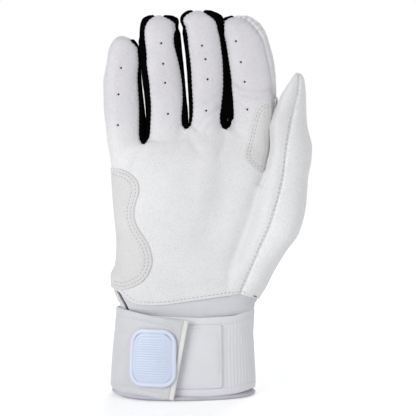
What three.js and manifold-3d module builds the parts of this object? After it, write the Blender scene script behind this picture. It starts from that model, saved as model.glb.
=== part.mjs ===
// A leather batting glove for the right hand, filled out as on a hand.
// It stands on the open end of its cuff with the fingers up (+Z), the palm faces -Y
// and the thumb is at +X. The origin is the centre of the foot of the cuff lining.
import * as THREE from 'three';
import { mergeVertices } from 'three/addons/utils/BufferGeometryUtils.js';
import Module from 'manifold-3d';

const wasm = await Module();
wasm.setup();

// Driving sizes, all in millimetres.
// Clearances and working margins.
const sewnGap = 0.35;
const creaseGap = 0.5;
const overrun = 4;

// Materials by thickness.
const leatherThickness = 1.3;
const patchThickness = 0.9;
const liningThickness = 1.2;
const panelThickness = 1.1;
const bandThickness = 1.8;
const strapThickness = 1.6;
const loopThickness = 1.0;
const hookThickness = 1.0;

// Cuff. Heights are measured up from the foot of the lining.
const cuffCentreX = -14.3;
const cuffCentreY = 2;
const cuffWidth = 86.6;
const cuffDepth = 42;
const bandBottom = 2.5;
const bandHeight = 50.5;
const bandTop = bandBottom + bandHeight;
const liningDrop = 1.5;
const slitWidth = 3;
const slitCentreX = -48;
const gussetWidth = 14;
// The wrist panels show between the band and the palm, and are tucked into both.
const wristShow = 5;
const wristPanelTuck = 7;
const wristPanelLap = 10;

// Strap, closing tab and pull patch.
const tabLength = 46;
const tabHeight = 52;
const tabBottom = 1.2;
const tabEdgeWidth = 3;
const strapEndX = 8;
const loopPanelLength = 54;
const loopPanelHeight = 40;
const pullPatchWidth = 30;
const pullPatchHeight = 36;
const pullPatchThickness = 1.4;
const pullPatchRim = 2.6;
const pullPatchCorner = 10;

// Palm, between the wrist hem and the roots of the fingers.
const palmBottom = bandTop + wristShow;
const palmHeight = 110.7;
const palmTop = palmBottom + palmHeight;
const palmWidth = 106;
const palmDepth = 40;
const palmCentreX = -9.5;
const sideSeamY = 2;

// Thumb with the ball of the thumb, which rises from the bottom of the palm.
const thumbHeight = 145;
const thumbWidth = 30;
const thumbDepth = 30;
const thumbCentreX = 30;
const thumbSideSeamY = -4;
const thumbBallHeight = 77.8;
const thumbFirstLength = 33.5;
const thumbBaseCreaseZ = palmBottom + thumbBallHeight;
const thumbTipCreaseZ = thumbBaseCreaseZ + thumbFirstLength;

// Fingers. Each is rooted a little below the top of the palm. Three bend at one knuckle
// crease just over the palm, and the little finger's crease is lower.
const knuckleRise = 1.1;
const knuckleCreaseZ = palmTop + knuckleRise;
const fingerDepth = 21;
const fingerFirstLength = 38;
const middleCentreX = -0.2;
const middleRootDrop = 3;
const middleLength = 77.6;
const middleWidth = 24.5;
const ringRootDrop = 5;
const ringLength = 76.3;
const ringWidth = 26;
const ringSideGap = 1.05;
const ringCentreX = middleCentreX - middleWidth / 2 - ringSideGap - ringWidth / 2;
const indexRootDrop = 3;
const indexLength = 74.3;
const indexWidth = 31;
const indexSideGap = 0.05;
const indexCentreX = middleCentreX + middleWidth / 2 + indexSideGap + indexWidth / 2;
const littleRootDrop = 10;
const littleLength = 67.6;
const littleWidth = 25;
const littleDepth = 20;
const littleCreaseDrop = 5.9;
const littleFirstLength = 34;
const littleSideGap = 1.3;
const littleCentreX = ringCentreX - ringWidth / 2 - littleSideGap - littleWidth / 2;

// Facets round the hollow forms.
const handSides = 32;
const fingerSides = 22;
const cuffSides = 40;
const cornerSteps = 6;

// Roundness of the flat oval sections: 2 is an ellipse and more is squarer.
const handPower = 2.5;
const fingerPower = 2.45;
const cuffPower = 2.15;

// Each row gives a section: its height as a share of the height, its left and right edges
// as shares of the width, and its front and back as shares of the depth.
const palmShares = [
  [0.000, -0.450, 0.378, -0.487, 0.475],
  [0.088, -0.483, 0.420, -0.512, 0.465],
  [0.160, -0.485, 0.439, -0.525, 0.460],
  [0.232, -0.458, 0.453, -0.520, 0.455],
  [0.350, -0.453, 0.467, -0.500, 0.450],
  [0.557, -0.470, 0.484, -0.463, 0.425],
  [0.702, -0.480, 0.492, -0.425, 0.400],
  [0.819, -0.492, 0.492, -0.380, 0.365],
  [0.892, -0.504, 0.492, -0.325, 0.325],
  [0.914, -0.507, 0.493, -0.304, 0.308],
  [0.925, -0.382, 0.492, -0.290, 0.298],
  [0.939, -0.271, 0.490, -0.278, 0.285],
  [0.964, -0.259, 0.486, -0.268, 0.270],
  [0.991, -0.193, 0.410, -0.225, 0.230],
  [1.000, -0.118, 0.316, -0.188, 0.200],
];

const thumbShares = [
  [0.012, -0.933, 0.033, -0.500, 0.400],
  [0.067, -0.867, 0.190, -0.667, 0.467],
  [0.150, -0.733, 0.390, -0.767, 0.483],
  [0.232, -0.533, 0.623, -0.833, 0.483],
  [0.315, -0.333, 0.890, -0.850, 0.433],
  [0.426, -0.067, 1.027, -0.800, 0.367],
  [0.536, 0.447, 1.077, -0.683, 0.300],
  [0.626, 0.447, 1.163, -0.617, 0.283],
  [0.681, 0.447, 1.187, -0.567, 0.267],
  [0.777, 0.450, 1.080, -0.533, 0.233],
  [0.888, 0.453, 1.037, -0.500, 0.167],
  [0.929, 0.567, 1.020, -0.467, 0.117],
  [0.974, 0.713, 0.987, -0.400, 0.000],
  [1.000, 0.800, 0.917, -0.283, -0.133],
];

const littleShares = [
  [-0.222, -0.240, 0.300, -0.420, 0.420],
  [0.000, -0.404, 0.504, -0.500, 0.500],
  [0.163, -0.456, 0.528, -0.500, 0.500],
  [0.370, -0.496, 0.492, -0.500, 0.490],
  [0.562, -0.500, 0.428, -0.500, 0.470],
  [0.725, -0.420, 0.388, -0.500, 0.450],
  [0.873, -0.352, 0.388, -0.480, 0.420],
  [0.947, -0.252, 0.292, -0.400, 0.360],
  [0.985, -0.148, 0.164, -0.260, 0.240],
  [1.000, -0.068, 0.052, -0.120, 0.120],
];

const ringShares = [
  [-0.262, -0.404, 0.404, -0.500, 0.500],
  [0.000, -0.442, 0.519, -0.500, 0.500],
  [0.144, -0.446, 0.519, -0.500, 0.500],
  [0.341, -0.496, 0.477, -0.500, 0.490],
  [0.577, -0.554, 0.427, -0.500, 0.470],
  [0.813, -0.635, 0.358, -0.490, 0.440],
  [0.904, -0.604, 0.304, -0.440, 0.400],
  [0.970, -0.500, 0.192, -0.320, 0.300],
  [1.000, -0.327, 0.019, -0.150, 0.150],
];

const middleShares = [
  [-0.284, -0.400, 0.416, -0.500, 0.500],
  [0.000, -0.473, 0.486, -0.500, 0.500],
  [0.142, -0.469, 0.490, -0.500, 0.500],
  [0.335, -0.502, 0.486, -0.500, 0.490],
  [0.541, -0.555, 0.465, -0.500, 0.470],
  [0.773, -0.641, 0.388, -0.490, 0.440],
  [0.902, -0.686, 0.331, -0.440, 0.400],
  [0.969, -0.620, 0.180, -0.320, 0.300],
  [1.000, -0.461, -0.053, -0.150, 0.150],
];

const indexShares = [
  [-0.296, -0.381, 0.381, -0.500, 0.500],
  [0.000, -0.490, 0.490, -0.500, 0.500],
  [0.148, -0.490, 0.497, -0.500, 0.500],
  [0.350, -0.494, 0.484, -0.500, 0.490],
  [0.565, -0.506, 0.445, -0.500, 0.470],
  [0.727, -0.548, 0.355, -0.490, 0.450],
  [0.875, -0.600, 0.232, -0.450, 0.400],
  [0.962, -0.574, 0.013, -0.330, 0.300],
  [1.000, -0.406, -0.181, -0.150, 0.150],
];

// The fingers. fourchettes says on which sides a knitted side strip lies; the outer side of
// the little finger and of the index finger has a plain seam at outerSeamShare of the depth.
const fingers = [
  { name: 'little', centreX: littleCentreX, root: palmTop - littleRootDrop, length: littleLength,
    width: littleWidth, depth: littleDepth, crease: palmTop - littleCreaseDrop,
    firstLength: littleFirstLength, shares: littleShares, fourchettes: ['right'], outerSeamShare: 0.1 },
  { name: 'ring', centreX: ringCentreX, root: palmTop - ringRootDrop, length: ringLength,
    width: ringWidth, depth: fingerDepth, crease: knuckleCreaseZ,
    firstLength: fingerFirstLength, shares: ringShares, fourchettes: ['left', 'right'] },
  { name: 'middle', centreX: middleCentreX, root: palmTop - middleRootDrop, length: middleLength,
    width: middleWidth, depth: fingerDepth, crease: knuckleCreaseZ,
    firstLength: fingerFirstLength, shares: middleShares, fourchettes: ['left', 'right'] },
  { name: 'index', centreX: indexCentreX, root: palmTop - indexRootDrop, length: indexLength,
    width: indexWidth, depth: fingerDepth, crease: knuckleCreaseZ,
    firstLength: fingerFirstLength, shares: indexShares, fourchettes: ['left'], outerSeamShare: -0.3 },
];
const frontSeamShare = -0.3;
const backSeamShare = 0.3;
const tipBridgeShare = 0.2;
const tipStartShare = 0.9;

// Outlines on the palm side, as shares of the palm's width from its centre line
// and of its height from its bottom.
const heelPatchShares = [
  [-0.571, 0.780], [-0.479, 0.780], [-0.389, 0.763], [-0.327, 0.708], [-0.318, 0.646], [-0.342, 0.585],
  [-0.356, 0.513], [-0.327, 0.442], [-0.265, 0.370], [-0.238, 0.282], [-0.247, 0.216], [-0.296, 0.148],
  [-0.362, 0.111], [-0.420, 0.084], [-0.571, 0.063],
];
const crotchPatchShares = [
  [0.301, 0.833], [0.316, 0.858], [0.340, 0.937], [0.356, 1.020], [0.481, 1.020], [0.481, 0.894],
  [0.448, 0.822], [0.431, 0.750], [0.401, 0.691], [0.371, 0.741],
];
const crotchWingShares = [
  [0.358, 0.900], [0.358, 1.014], [0.361, 1.039], [0.387, 1.110], [0.416, 1.134], [0.476, 1.144],
  [0.481, 1.014], [0.481, 0.900],
];
const hemShares = [
  [-0.700, 0.072], [-0.476, 0.072], [-0.420, 0.056], [-0.376, 0.029], [-0.325, 0.015], [-0.180, 0.021],
  [-0.037, 0.046], [0.106, 0.064], [0.248, 0.077], [0.323, 0.063], [0.384, 0.025], [0.700, 0.025],
];

// The long seam down the front of the thumb, as shares of the thumb's width and height.
const thumbSeamShares = [
  [-0.480, -0.030], [-0.333, 0.052], [-0.247, 0.094], [-0.043, 0.196], [0.123, 0.279], [0.290, 0.352],
  [0.423, 0.434], [0.483, 0.472], [0.573, 0.541], [0.603, 0.577], [0.643, 0.671], [0.743, 0.778],
  [0.840, 0.863], [0.900, 0.928], [0.913, 1.060],
];

// The strap's closing tab, as shares of its length from the fold and of its height.
const tabShares = [
  [-0.30, 1.046], [0.020, 1.046], [1.000, 0.955], [0.800, 0.000], [0.020, 0.045], [-0.30, 0.045],
];

// A flat oval section at one height.
function section(z, left, right, front, back) {
  return { z, left, right, front, back };
}

// A closed solid through sections stacked from the lowest to the highest.
function loft(sections, sides, power) {
  const positions = [];
  for (const { z, left, right, front, back } of sections) {
    const halfWidth = (right - left) / 2;
    const halfDepth = (back - front) / 2;
    for (let i = 0; i < sides; i += 1) {
      const angle = (i / sides) * Math.PI * 2;
      const c = Math.cos(angle);
      const s = Math.sin(angle);
      const across = Math.sign(c) * Math.abs(c) ** (2 / power);
      const deep = Math.sign(s) * Math.abs(s) ** (2 / power);
      positions.push(left + halfWidth * (1 + across), front + halfDepth * (1 + deep), z);
    }
  }
  const faces = [];
  for (let row = 0; row + 1 < sections.length; row += 1) {
    for (let i = 0; i < sides; i += 1) {
      const a = row * sides + i;
      const b = row * sides + ((i + 1) % sides);
      faces.push(a, b, b + sides, a, b + sides, a + sides);
    }
  }
  const top = (sections.length - 1) * sides;
  for (let i = 1; i + 1 < sides; i += 1) {
    faces.push(0, i + 1, i, top, top + i, top + i + 1);
  }
  const geometry = new THREE.BufferGeometry();
  geometry.setAttribute('position', new THREE.Float32BufferAttribute(positions, 3));
  geometry.setIndex(faces);
  return geometry;
}

// The manifold solid of a closed geometry.
function solid(geometry) {
  const bare = geometry.clone();
  bare.deleteAttribute('normal');
  bare.deleteAttribute('uv');
  const merged = mergeVertices(bare);
  return new wasm.Manifold(new wasm.Mesh({
    numProp: 3,
    vertProperties: new Float32Array(merged.attributes.position.array),
    triVerts: new Uint32Array(merged.index.array),
  }));
}

// A box from its lowest to its highest corner.
function block(x0, x1, y0, y1, z0, z1) {
  const geometry = new THREE.BoxGeometry(x1 - x0, y1 - y0, z1 - z0);
  geometry.translate((x0 + x1) / 2, (y0 + y1) / 2, (z0 + z1) / 2);
  return solid(geometry);
}

// An outline of [x, z] points carried along Y from front to back.
function prism(points, front, back) {
  const shape = new THREE.Shape(points.map(([x, z]) => new THREE.Vector2(x, z)));
  const geometry = new THREE.ExtrudeGeometry(shape, { depth: back - front, bevelEnabled: false });
  geometry.rotateX(Math.PI / 2);
  geometry.translate(0, back, 0);
  return solid(geometry);
}

function union(solids) {
  return solids.reduce((whole, next) => whole.add(next));
}

// One row of a share table in millimetres, drawn in from the outside by the inset.
function rowSection(form, row, inset) {
  const [rise, left, right, front, back] = row;
  return section(
    form.bottom + rise * (form.height - inset),
    form.centreX + left * form.width + inset,
    form.centreX + right * form.width - inset,
    front * form.depth + inset,
    back * form.depth - inset,
  );
}

// The row of a share table at any rise between two given rows.
function rowBetween(rows, rise) {
  const next = rows.findIndex((row) => row[0] >= rise);
  if (next <= 0) {
    return [rise, ...rows[next === 0 ? 0 : rows.length - 1].slice(1)];
  }
  const [low, high] = [rows[next - 1], rows[next]];
  const part = (rise - low[0]) / (high[0] - low[0]);
  return low.map((value, i) => value + part * (high[i] - value));
}

// The stretch of a form between two heights; from or to may be null for the form's own end.
function stretch(form, inset, from, to) {
  const lift = (z) => (z - form.bottom) / (form.height - inset);
  const low = from === null ? form.shares[0][0] : lift(from);
  const high = to === null ? form.shares[form.shares.length - 1][0] : lift(to);
  const rows = form.shares.filter((row) => row[0] > low && row[0] < high);
  const all = [rowBetween(form.shares, low), ...rows, rowBetween(form.shares, high)];
  return solid(loft(all.map((row) => rowSection(form, row, inset)), form.sides, form.power));
}

// The forms that the hollow glove is drawn in.
const palm = {
  bottom: palmBottom, height: palmHeight, width: palmWidth, depth: palmDepth,
  centreX: palmCentreX, shares: palmShares, sides: handSides, power: handPower,
};
const thumb = {
  bottom: palmBottom, height: thumbHeight, width: thumbWidth, depth: thumbDepth,
  centreX: thumbCentreX, shares: thumbShares, sides: fingerSides, power: fingerPower,
};
const digits = fingers.map((finger) => ({
  ...finger, bottom: finger.root, height: finger.length, middleCrease: finger.crease + finger.firstLength,
  sides: fingerSides, power: fingerPower,
}));

const reach = 2 * palmWidth;

// The hand below the finger and thumb creases, drawn in by the inset or swollen by a negative one.
function handForm(inset, below, above) {
  const parts = [stretch(palm, inset, below, null), stretch(thumb, inset, null, thumbBaseCreaseZ + above)];
  for (const digit of digits) {
    parts.push(stretch(digit, inset, null, digit.crease + above));
  }
  return union(parts);
}

// A point of a share outline, measured from the palm's centre line and bottom.
function palmPoint([x, z]) {
  return [palmCentreX + x * palmWidth, palmBottom + z * palmHeight];
}

// The side of the thumb seam that the palm lies on, moved aside by the shift.
function palmSideOfThumbSeam(shift, from, to, front, back) {
  const points = thumbSeamShares.map(([x, z]) => [
    thumbCentreX + x * thumbWidth + shift,
    palmBottom + z * thumbHeight,
  ]);
  const outline = [[-reach, points[0][1]], ...points, [-reach, points[points.length - 1][1]]];
  return prism(outline, front, back).intersect(block(-reach, reach, front, back, from, to));
}

const glove = new THREE.Group();
glove.name = 'batting_glove';

const finishes = {
  palmLeather: new THREE.MeshStandardMaterial({ color: '#dfe0e2', roughness: 0.62, metalness: 0 }),
  backLeather: new THREE.MeshStandardMaterial({ color: '#e6e6e8', roughness: 0.6, metalness: 0 }),
  patchLeather: new THREE.MeshStandardMaterial({ color: '#e8e4dc', roughness: 0.62, metalness: 0 }),
  knit: new THREE.MeshStandardMaterial({ color: '#17171a', roughness: 0.9, metalness: 0 }),
  band: new THREE.MeshStandardMaterial({ color: '#d0d0d8', roughness: 0.72, metalness: 0 }),
  lining: new THREE.MeshStandardMaterial({ color: '#c8c6d0', roughness: 0.9, metalness: 0 }),
  strap: new THREE.MeshStandardMaterial({ color: '#e4e4ea', roughness: 0.55, metalness: 0 }),
  trim: new THREE.MeshStandardMaterial({ color: '#ece6d8', roughness: 0.6, metalness: 0 }),
  fastener: new THREE.MeshStandardMaterial({ color: '#eceef0', roughness: 0.95, metalness: 0 }),
  pull: new THREE.MeshStandardMaterial({ color: '#d9dff0', roughness: 0.45, metalness: 0 }),
};

// Adds a solid to the glove as a named piece.
function addPiece(name, body, finish) {
  const mesh = body.getMesh();
  const geometry = new THREE.BufferGeometry();
  const positions = new Float32Array(mesh.numVert * 3);
  for (let i = 0; i < mesh.numVert; i += 1) {
    for (let axis = 0; axis < 3; axis += 1) {
      positions[i * 3 + axis] = mesh.vertProperties[i * mesh.numProp + axis];
    }
  }
  geometry.setAttribute('position', new THREE.BufferAttribute(positions, 3));
  geometry.setIndex(new THREE.BufferAttribute(new Uint32Array(mesh.triVerts), 1));
  geometry.computeVertexNormals();
  const piece = new THREE.Mesh(geometry, finishes[finish]);
  piece.name = name;
  glove.add(piece);
}

// Palm, side of the thumb and back: the hollow hand cut along its seams.
function addHand() {
  const outside = handForm(0, null, -creaseGap / 2);
  const cavity = handForm(leatherThickness, palmBottom - overrun, overrun);
  const shell = outside.subtract(cavity);
  const front = -palmDepth;
  const hem = hemShares.map(palmPoint);
  const low = palmBottom - overrun;
  const underHem = prism([[-reach, low], ...hem, [reach, low]], front, sideSeamY);
  const top = palmTop + overrun;

  const palmZone = union([
    palmSideOfThumbSeam(-sewnGap / 2, low, thumbBaseCreaseZ, front, sideSeamY - sewnGap / 2),
    block(-reach, reach, front, sideSeamY - sewnGap / 2, thumbBaseCreaseZ, top),
  ]);
  const frontZone = block(-reach, reach, front, sideSeamY - sewnGap / 2, low, thumbBaseCreaseZ);
  const seamLine = palmSideOfThumbSeam(sewnGap / 2, low, thumbBaseCreaseZ, front, sideSeamY);
  const backZone = block(-reach, reach, sideSeamY + sewnGap / 2, palmDepth, low, top);

  addPiece('palm_leather', shell.intersect(palmZone).subtract(underHem), 'palmLeather');
  const sideOfThumb = frontZone.subtract(seamLine).subtract(underHem);
  addPiece('thumb_side_panel', shell.intersect(sideOfThumb), 'backLeather');
  addPiece('back_leather', shell.intersect(backZone), 'backLeather');
}

// The raised patches lie on the palm leather, a sewn gap off it.
function addPatches() {
  const under = handForm(-sewnGap, null, creaseGap);
  const over = handForm(-sewnGap - patchThickness, null, creaseGap);
  const skin = over.subtract(under);
  const heel = prism(heelPatchShares.map(palmPoint), -palmDepth, -sewnGap);
  const crotch = prism(crotchPatchShares.map(palmPoint), -palmDepth, -sewnGap)
    .intersect(block(-reach, reach, -palmDepth, palmDepth, palmBottom, knuckleCreaseZ - creaseGap / 2));
  addPiece('heel_patch', skin.intersect(heel), 'patchLeather');
  addPiece('crotch_patch', skin.intersect(crotch), 'palmLeather');
}

// The zones of a finger's shell: palm leather, back leather and the side strips between.
// Near the tip the two leathers meet on a bridge, and the side strips end beside it.
function fingerZones(digit) {
  const tipRow = digit.shares[digit.shares.length - 1];
  const tipX = digit.centreX + ((tipRow[1] + tipRow[2]) / 2) * digit.width;
  const bridge = tipBridgeShare * digit.width;
  const [leftBridge, rightBridge] = [tipX - bridge, tipX + bridge];
  const frontY = frontSeamShare * digit.depth;
  const backY = backSeamShare * digit.depth;
  const outerSeamY = (digit.outerSeamShare ?? 0) * digit.depth;
  const half = sewnGap / 2;
  const low = palmBottom;
  const high = digit.root + digit.length + overrun;
  const tipLow = digit.root + tipStartShare * digit.length;
  const front = [
    block(-reach, reach, -palmDepth, frontY - half, low, high),
    block(leftBridge, rightBridge, -palmDepth, outerSeamY - half, tipLow, high),
  ];
  const back = [
    block(-reach, reach, backY + half, palmDepth, low, high),
    block(leftBridge, rightBridge, outerSeamY + half, palmDepth, tipLow, high),
  ];
  const strip = (x0, x1, tipX0, tipX1) => union([
    block(x0, x1, frontY + half, backY - half, low, tipLow),
    block(tipX0, tipX1, frontY + half, backY - half, tipLow, high),
  ]);
  const sides = {
    left: strip(-reach, digit.centreX - bridge, -reach, leftBridge - sewnGap),
    right: strip(digit.centreX + bridge, reach, rightBridge + sewnGap, reach),
  };
  for (const side of ['left', 'right']) {
    if (!digit.fourchettes.includes(side)) {
      const [x0, x1] = side === 'left' ? [-reach, digit.centreX] : [digit.centreX, reach];
      front.push(block(x0, x1, -palmDepth, outerSeamY - half, low, high));
      back.push(block(x0, x1, outerSeamY + half, palmDepth, low, high));
    }
  }
  return { front: union(front), back: union(back), sides };
}

// Each finger bends at its root and at its middle joint, so its leather is in two lengths.
function addFinger(digit) {
  const zones = fingerZones(digit);
  const half = creaseGap / 2;
  const lengths = {
    lower: stretch(digit, 0, digit.crease + half, digit.middleCrease - half)
      .subtract(stretch(digit, leatherThickness, digit.crease - overrun, digit.middleCrease + overrun)),
    upper: stretch(digit, 0, digit.middleCrease + half, null)
      .subtract(stretch(digit, leatherThickness, digit.middleCrease - overrun, null)),
  };
  for (const [part, shell] of Object.entries(lengths)) {
    const stem = `${digit.name}_${part}`;
    addPiece(`${stem}_front`, shell.intersect(zones.front), 'palmLeather');
    addPiece(`${stem}_back`, shell.intersect(zones.back), 'backLeather');
    for (const side of digit.fourchettes) {
      const name = digit.fourchettes.length > 1 ? `${stem}_fourchette_${side}` : `${stem}_fourchette`;
      addPiece(name, shell.intersect(zones.sides[side]), 'knit');
    }
  }
}

// The wing of the crotch patch that runs up on the root of the index finger.
function addCrotchWing() {
  const index = digits.find((digit) => digit.name === 'index');
  const low = knuckleCreaseZ + creaseGap / 2;
  const over = stretch(index, -sewnGap - patchThickness, low, index.middleCrease);
  const under = stretch(index, -sewnGap, low - overrun, index.middleCrease + overrun);
  const outline = prism(crotchWingShares.map(palmPoint), -palmDepth, -sewnGap);
  addPiece('crotch_patch_wing', over.subtract(under).intersect(outline), 'palmLeather');
}

// The thumb above its base crease, in two lengths.
function addThumb() {
  const half = creaseGap / 2;
  const seamHalf = sewnGap / 2;
  const lengths = {
    lower: stretch(thumb, 0, thumbBaseCreaseZ + half, thumbTipCreaseZ - half)
      .subtract(stretch(thumb, leatherThickness, thumbBaseCreaseZ - overrun, thumbTipCreaseZ + overrun)),
    upper: stretch(thumb, 0, thumbTipCreaseZ + half, null)
      .subtract(stretch(thumb, leatherThickness, thumbTipCreaseZ - overrun, null)),
  };
  const top = palmBottom + thumbHeight + overrun;
  const inside = palmSideOfThumbSeam(-seamHalf, palmBottom, top, -palmDepth, thumbSideSeamY - seamHalf);
  const outside = palmSideOfThumbSeam(seamHalf, palmBottom, top, -palmDepth, thumbSideSeamY + seamHalf);
  for (const [part, shell] of Object.entries(lengths)) {
    addPiece(`thumb_${part}_front`, shell.intersect(inside), 'palmLeather');
    addPiece(`thumb_${part}_back`, shell.subtract(outside), 'backLeather');
  }
}

// A closed oval of the cuff, drawn in from the band's outer face.
function cuffOval(inset, from, to) {
  const halfWidth = cuffWidth / 2 - inset;
  const halfDepth = cuffDepth / 2 - inset;
  const at = (z) => section(
    z,
    cuffCentreX - halfWidth, cuffCentreX + halfWidth,
    cuffCentreY - halfDepth, cuffCentreY + halfDepth,
  );
  return solid(loft([at(from), at(to)], cuffSides, cuffPower));
}

// A tube of the cuff between two insets.
function cuffTube(inset, thickness, from, to) {
  return cuffOval(inset, from, to).subtract(cuffOval(inset + thickness, from - overrun, to + overrun));
}

// The layers of the cuff, each as the inset of its outer face.
const panelInset = bandThickness + sewnGap;
const liningInset = panelInset + panelThickness + sewnGap;
const loopInset = -sewnGap - loopThickness;
const hookInset = loopInset - sewnGap - hookThickness;
const tabInset = hookInset - sewnGap - strapThickness;
const pullInset = tabInset - sewnGap - pullPatchThickness;
const strapInset = -sewnGap - strapThickness;
const wristPanelBottom = bandTop - wristPanelTuck;
const wristPanelTop = palmBottom + wristPanelLap;

// Lining, wrist panels, gusset and outer band.
function addCuff() {
  addPiece('cuff_lining', cuffTube(liningInset, liningThickness, 0, bandTop - liningDrop), 'lining');

  const slitHalf = slitWidth / 2;
  const slitZone = (half, top) => block(
    slitCentreX - half, slitCentreX + half, -cuffDepth, cuffCentreY, 0, top,
  );
  const slit = slitZone(slitHalf, bandTop + overrun);
  addPiece('cuff_band', cuffTube(0, bandThickness, bandBottom, bandTop).subtract(slit), 'band');

  const gussetZone = slitZone(gussetWidth / 2, bandTop);
  const gusset = cuffTube(panelInset, panelThickness, bandBottom, wristPanelBottom - sewnGap);
  addPiece('slit_gusset', gusset.intersect(gussetZone), 'lining');

  const panel = wristPanel();
  const frontHalf = block(-reach, reach, -cuffDepth, cuffCentreY - sewnGap / 2, 0, reach);
  const backHalf = block(-reach, reach, cuffCentreY + sewnGap / 2, cuffDepth, 0, reach);
  addPiece('wrist_panel', panel.intersect(frontHalf), 'band');
  addPiece('wrist_back_panel', panel.intersect(backHalf), 'backLeather');
}

// The wrist panels start inside the band and end inside the leather of the hand.
function wristPanel() {
  const inHand = leatherThickness + sewnGap;
  const layer = (inset) => {
    const halfWidth = cuffWidth / 2 - panelInset - inset;
    const halfDepth = cuffDepth / 2 - panelInset - inset;
    const low = (z) => section(
      z,
      cuffCentreX - halfWidth, cuffCentreX + halfWidth,
      cuffCentreY - halfDepth, cuffCentreY + halfDepth,
    );
    const high = (z) => {
      const row = rowBetween(palmShares, Math.max((z - palmBottom) / palmHeight, 0));
      return { ...rowSection(palm, row, inHand + inset), z };
    };
    const margin = inset > 0 ? overrun : 0;
    return solid(loft([
      low(wristPanelBottom - margin), low(bandTop), high(palmBottom), high(wristPanelTop + margin),
    ], cuffSides, cuffPower));
  };
  return layer(0).subtract(layer(panelThickness));
}

// The strap runs round the back of the cuff and closes over the front with a tab.
function addStrap() {
  const foldX = cuffCentreX - cuffWidth / 2;
  const tabPoint = ([x, z]) => [foldX + x * tabLength, tabBottom + z * tabHeight];
  const tabOutline = tabShares.map(tabPoint);
  const low = tabBottom + tabEdgeWidth;
  const high = tabBottom + tabHeight - tabEdgeWidth;

  const strapBand = cuffTube(strapInset, strapThickness, low, high);
  const backZone = block(-reach, strapEndX, cuffCentreY + sewnGap, 2 * cuffDepth, 0, reach);
  addPiece('strap_back', strapBand.intersect(backZone), 'strap');

  const loopLow = tabBottom + (tabHeight - loopPanelHeight) / 2;
  const loopBand = cuffTube(loopInset, loopThickness, loopLow, loopLow + loopPanelHeight);
  const loopStart = slitCentreX + slitWidth;
  const loopZone = block(loopStart, loopStart + loopPanelLength, -cuffDepth, cuffCentreY, 0, reach);
  addPiece('loop_panel', loopBand.intersect(loopZone), 'fastener');

  const tabBand = cuffTube(tabInset, strapThickness, 0, reach);
  const front = prism(tabOutline, -cuffDepth, cuffCentreY - sewnGap);
  const [endTop, endFoot] = [tabPoint(tabShares[2]), tabPoint(tabShares[3])];
  const endZone = (width) => prism([
    [endTop[0] + overrun, endTop[1] + overrun],
    [endFoot[0] + overrun, endFoot[1] - overrun],
    [endFoot[0] - width, endFoot[1] - overrun],
    [endTop[0] - width, endTop[1] + overrun],
  ], -cuffDepth, cuffCentreY);
  const tabLayer = tabBand.intersect(front);
  addPiece('strap_tab', tabLayer.subtract(endZone(tabEdgeWidth + sewnGap)), 'strap');
  addPiece('tab_end_binding', tabLayer.intersect(endZone(tabEdgeWidth)), 'trim');

  const [hookLow, hookHigh] = [loopLow + tabEdgeWidth, loopLow + loopPanelHeight - tabEdgeWidth];
  const hookBand = cuffTube(hookInset, hookThickness, hookLow, hookHigh);
  const hookEnd = endFoot[0] - tabEdgeWidth;
  const hookZone = block(loopStart, hookEnd, -cuffDepth, cuffCentreY, 0, reach);
  addPiece('hook_pad', hookBand.intersect(hookZone), 'fastener');

  const pullLeft = foldX + (tabLength - pullPatchWidth) / 2;
  const pullLow = tabBottom + (tabHeight - pullPatchHeight) / 2;
  const pullBand = cuffTube(pullInset, pullPatchThickness, 0, reach);
  const plate = (inset) => roundedPlate(
    pullLeft + inset, pullLeft + pullPatchWidth - inset,
    pullLow + inset, pullLow + pullPatchHeight - inset,
    pullPatchCorner - inset / 2,
  );
  addPiece('pull_patch_rim', pullBand.intersect(plate(0)).subtract(plate(pullPatchRim)), 'trim');
  addPiece('pull_patch', pullBand.intersect(plate(pullPatchRim + sewnGap)), 'pull');
}

// A plate with round corners, seen from the front, deep enough to cut the tab's layers.
function roundedPlate(left, right, low, high, radius) {
  const shape = new THREE.Shape();
  shape.absarc(right - radius, high - radius, radius, 0, Math.PI / 2);
  shape.absarc(left + radius, high - radius, radius, Math.PI / 2, Math.PI);
  shape.absarc(left + radius, low + radius, radius, Math.PI, Math.PI * 1.5);
  shape.absarc(right - radius, low + radius, radius, Math.PI * 1.5, Math.PI * 2);
  const geometry = new THREE.ExtrudeGeometry(shape, {
    depth: cuffDepth, bevelEnabled: false, curveSegments: cornerSteps,
  });
  geometry.rotateX(Math.PI / 2);
  return solid(geometry);
}

addHand();
addPatches();
for (const digit of digits) {
  addFinger(digit);
}
addCrotchWing();
addThumb();
addCuff();
addStrap();

export default glove;
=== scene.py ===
import math

import bmesh
import bpy
import numpy as np
from mathutils import Matrix, Vector, noise
from mathutils.bvhtree import BVHTree
from mathutils.kdtree import KDTree


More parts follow.
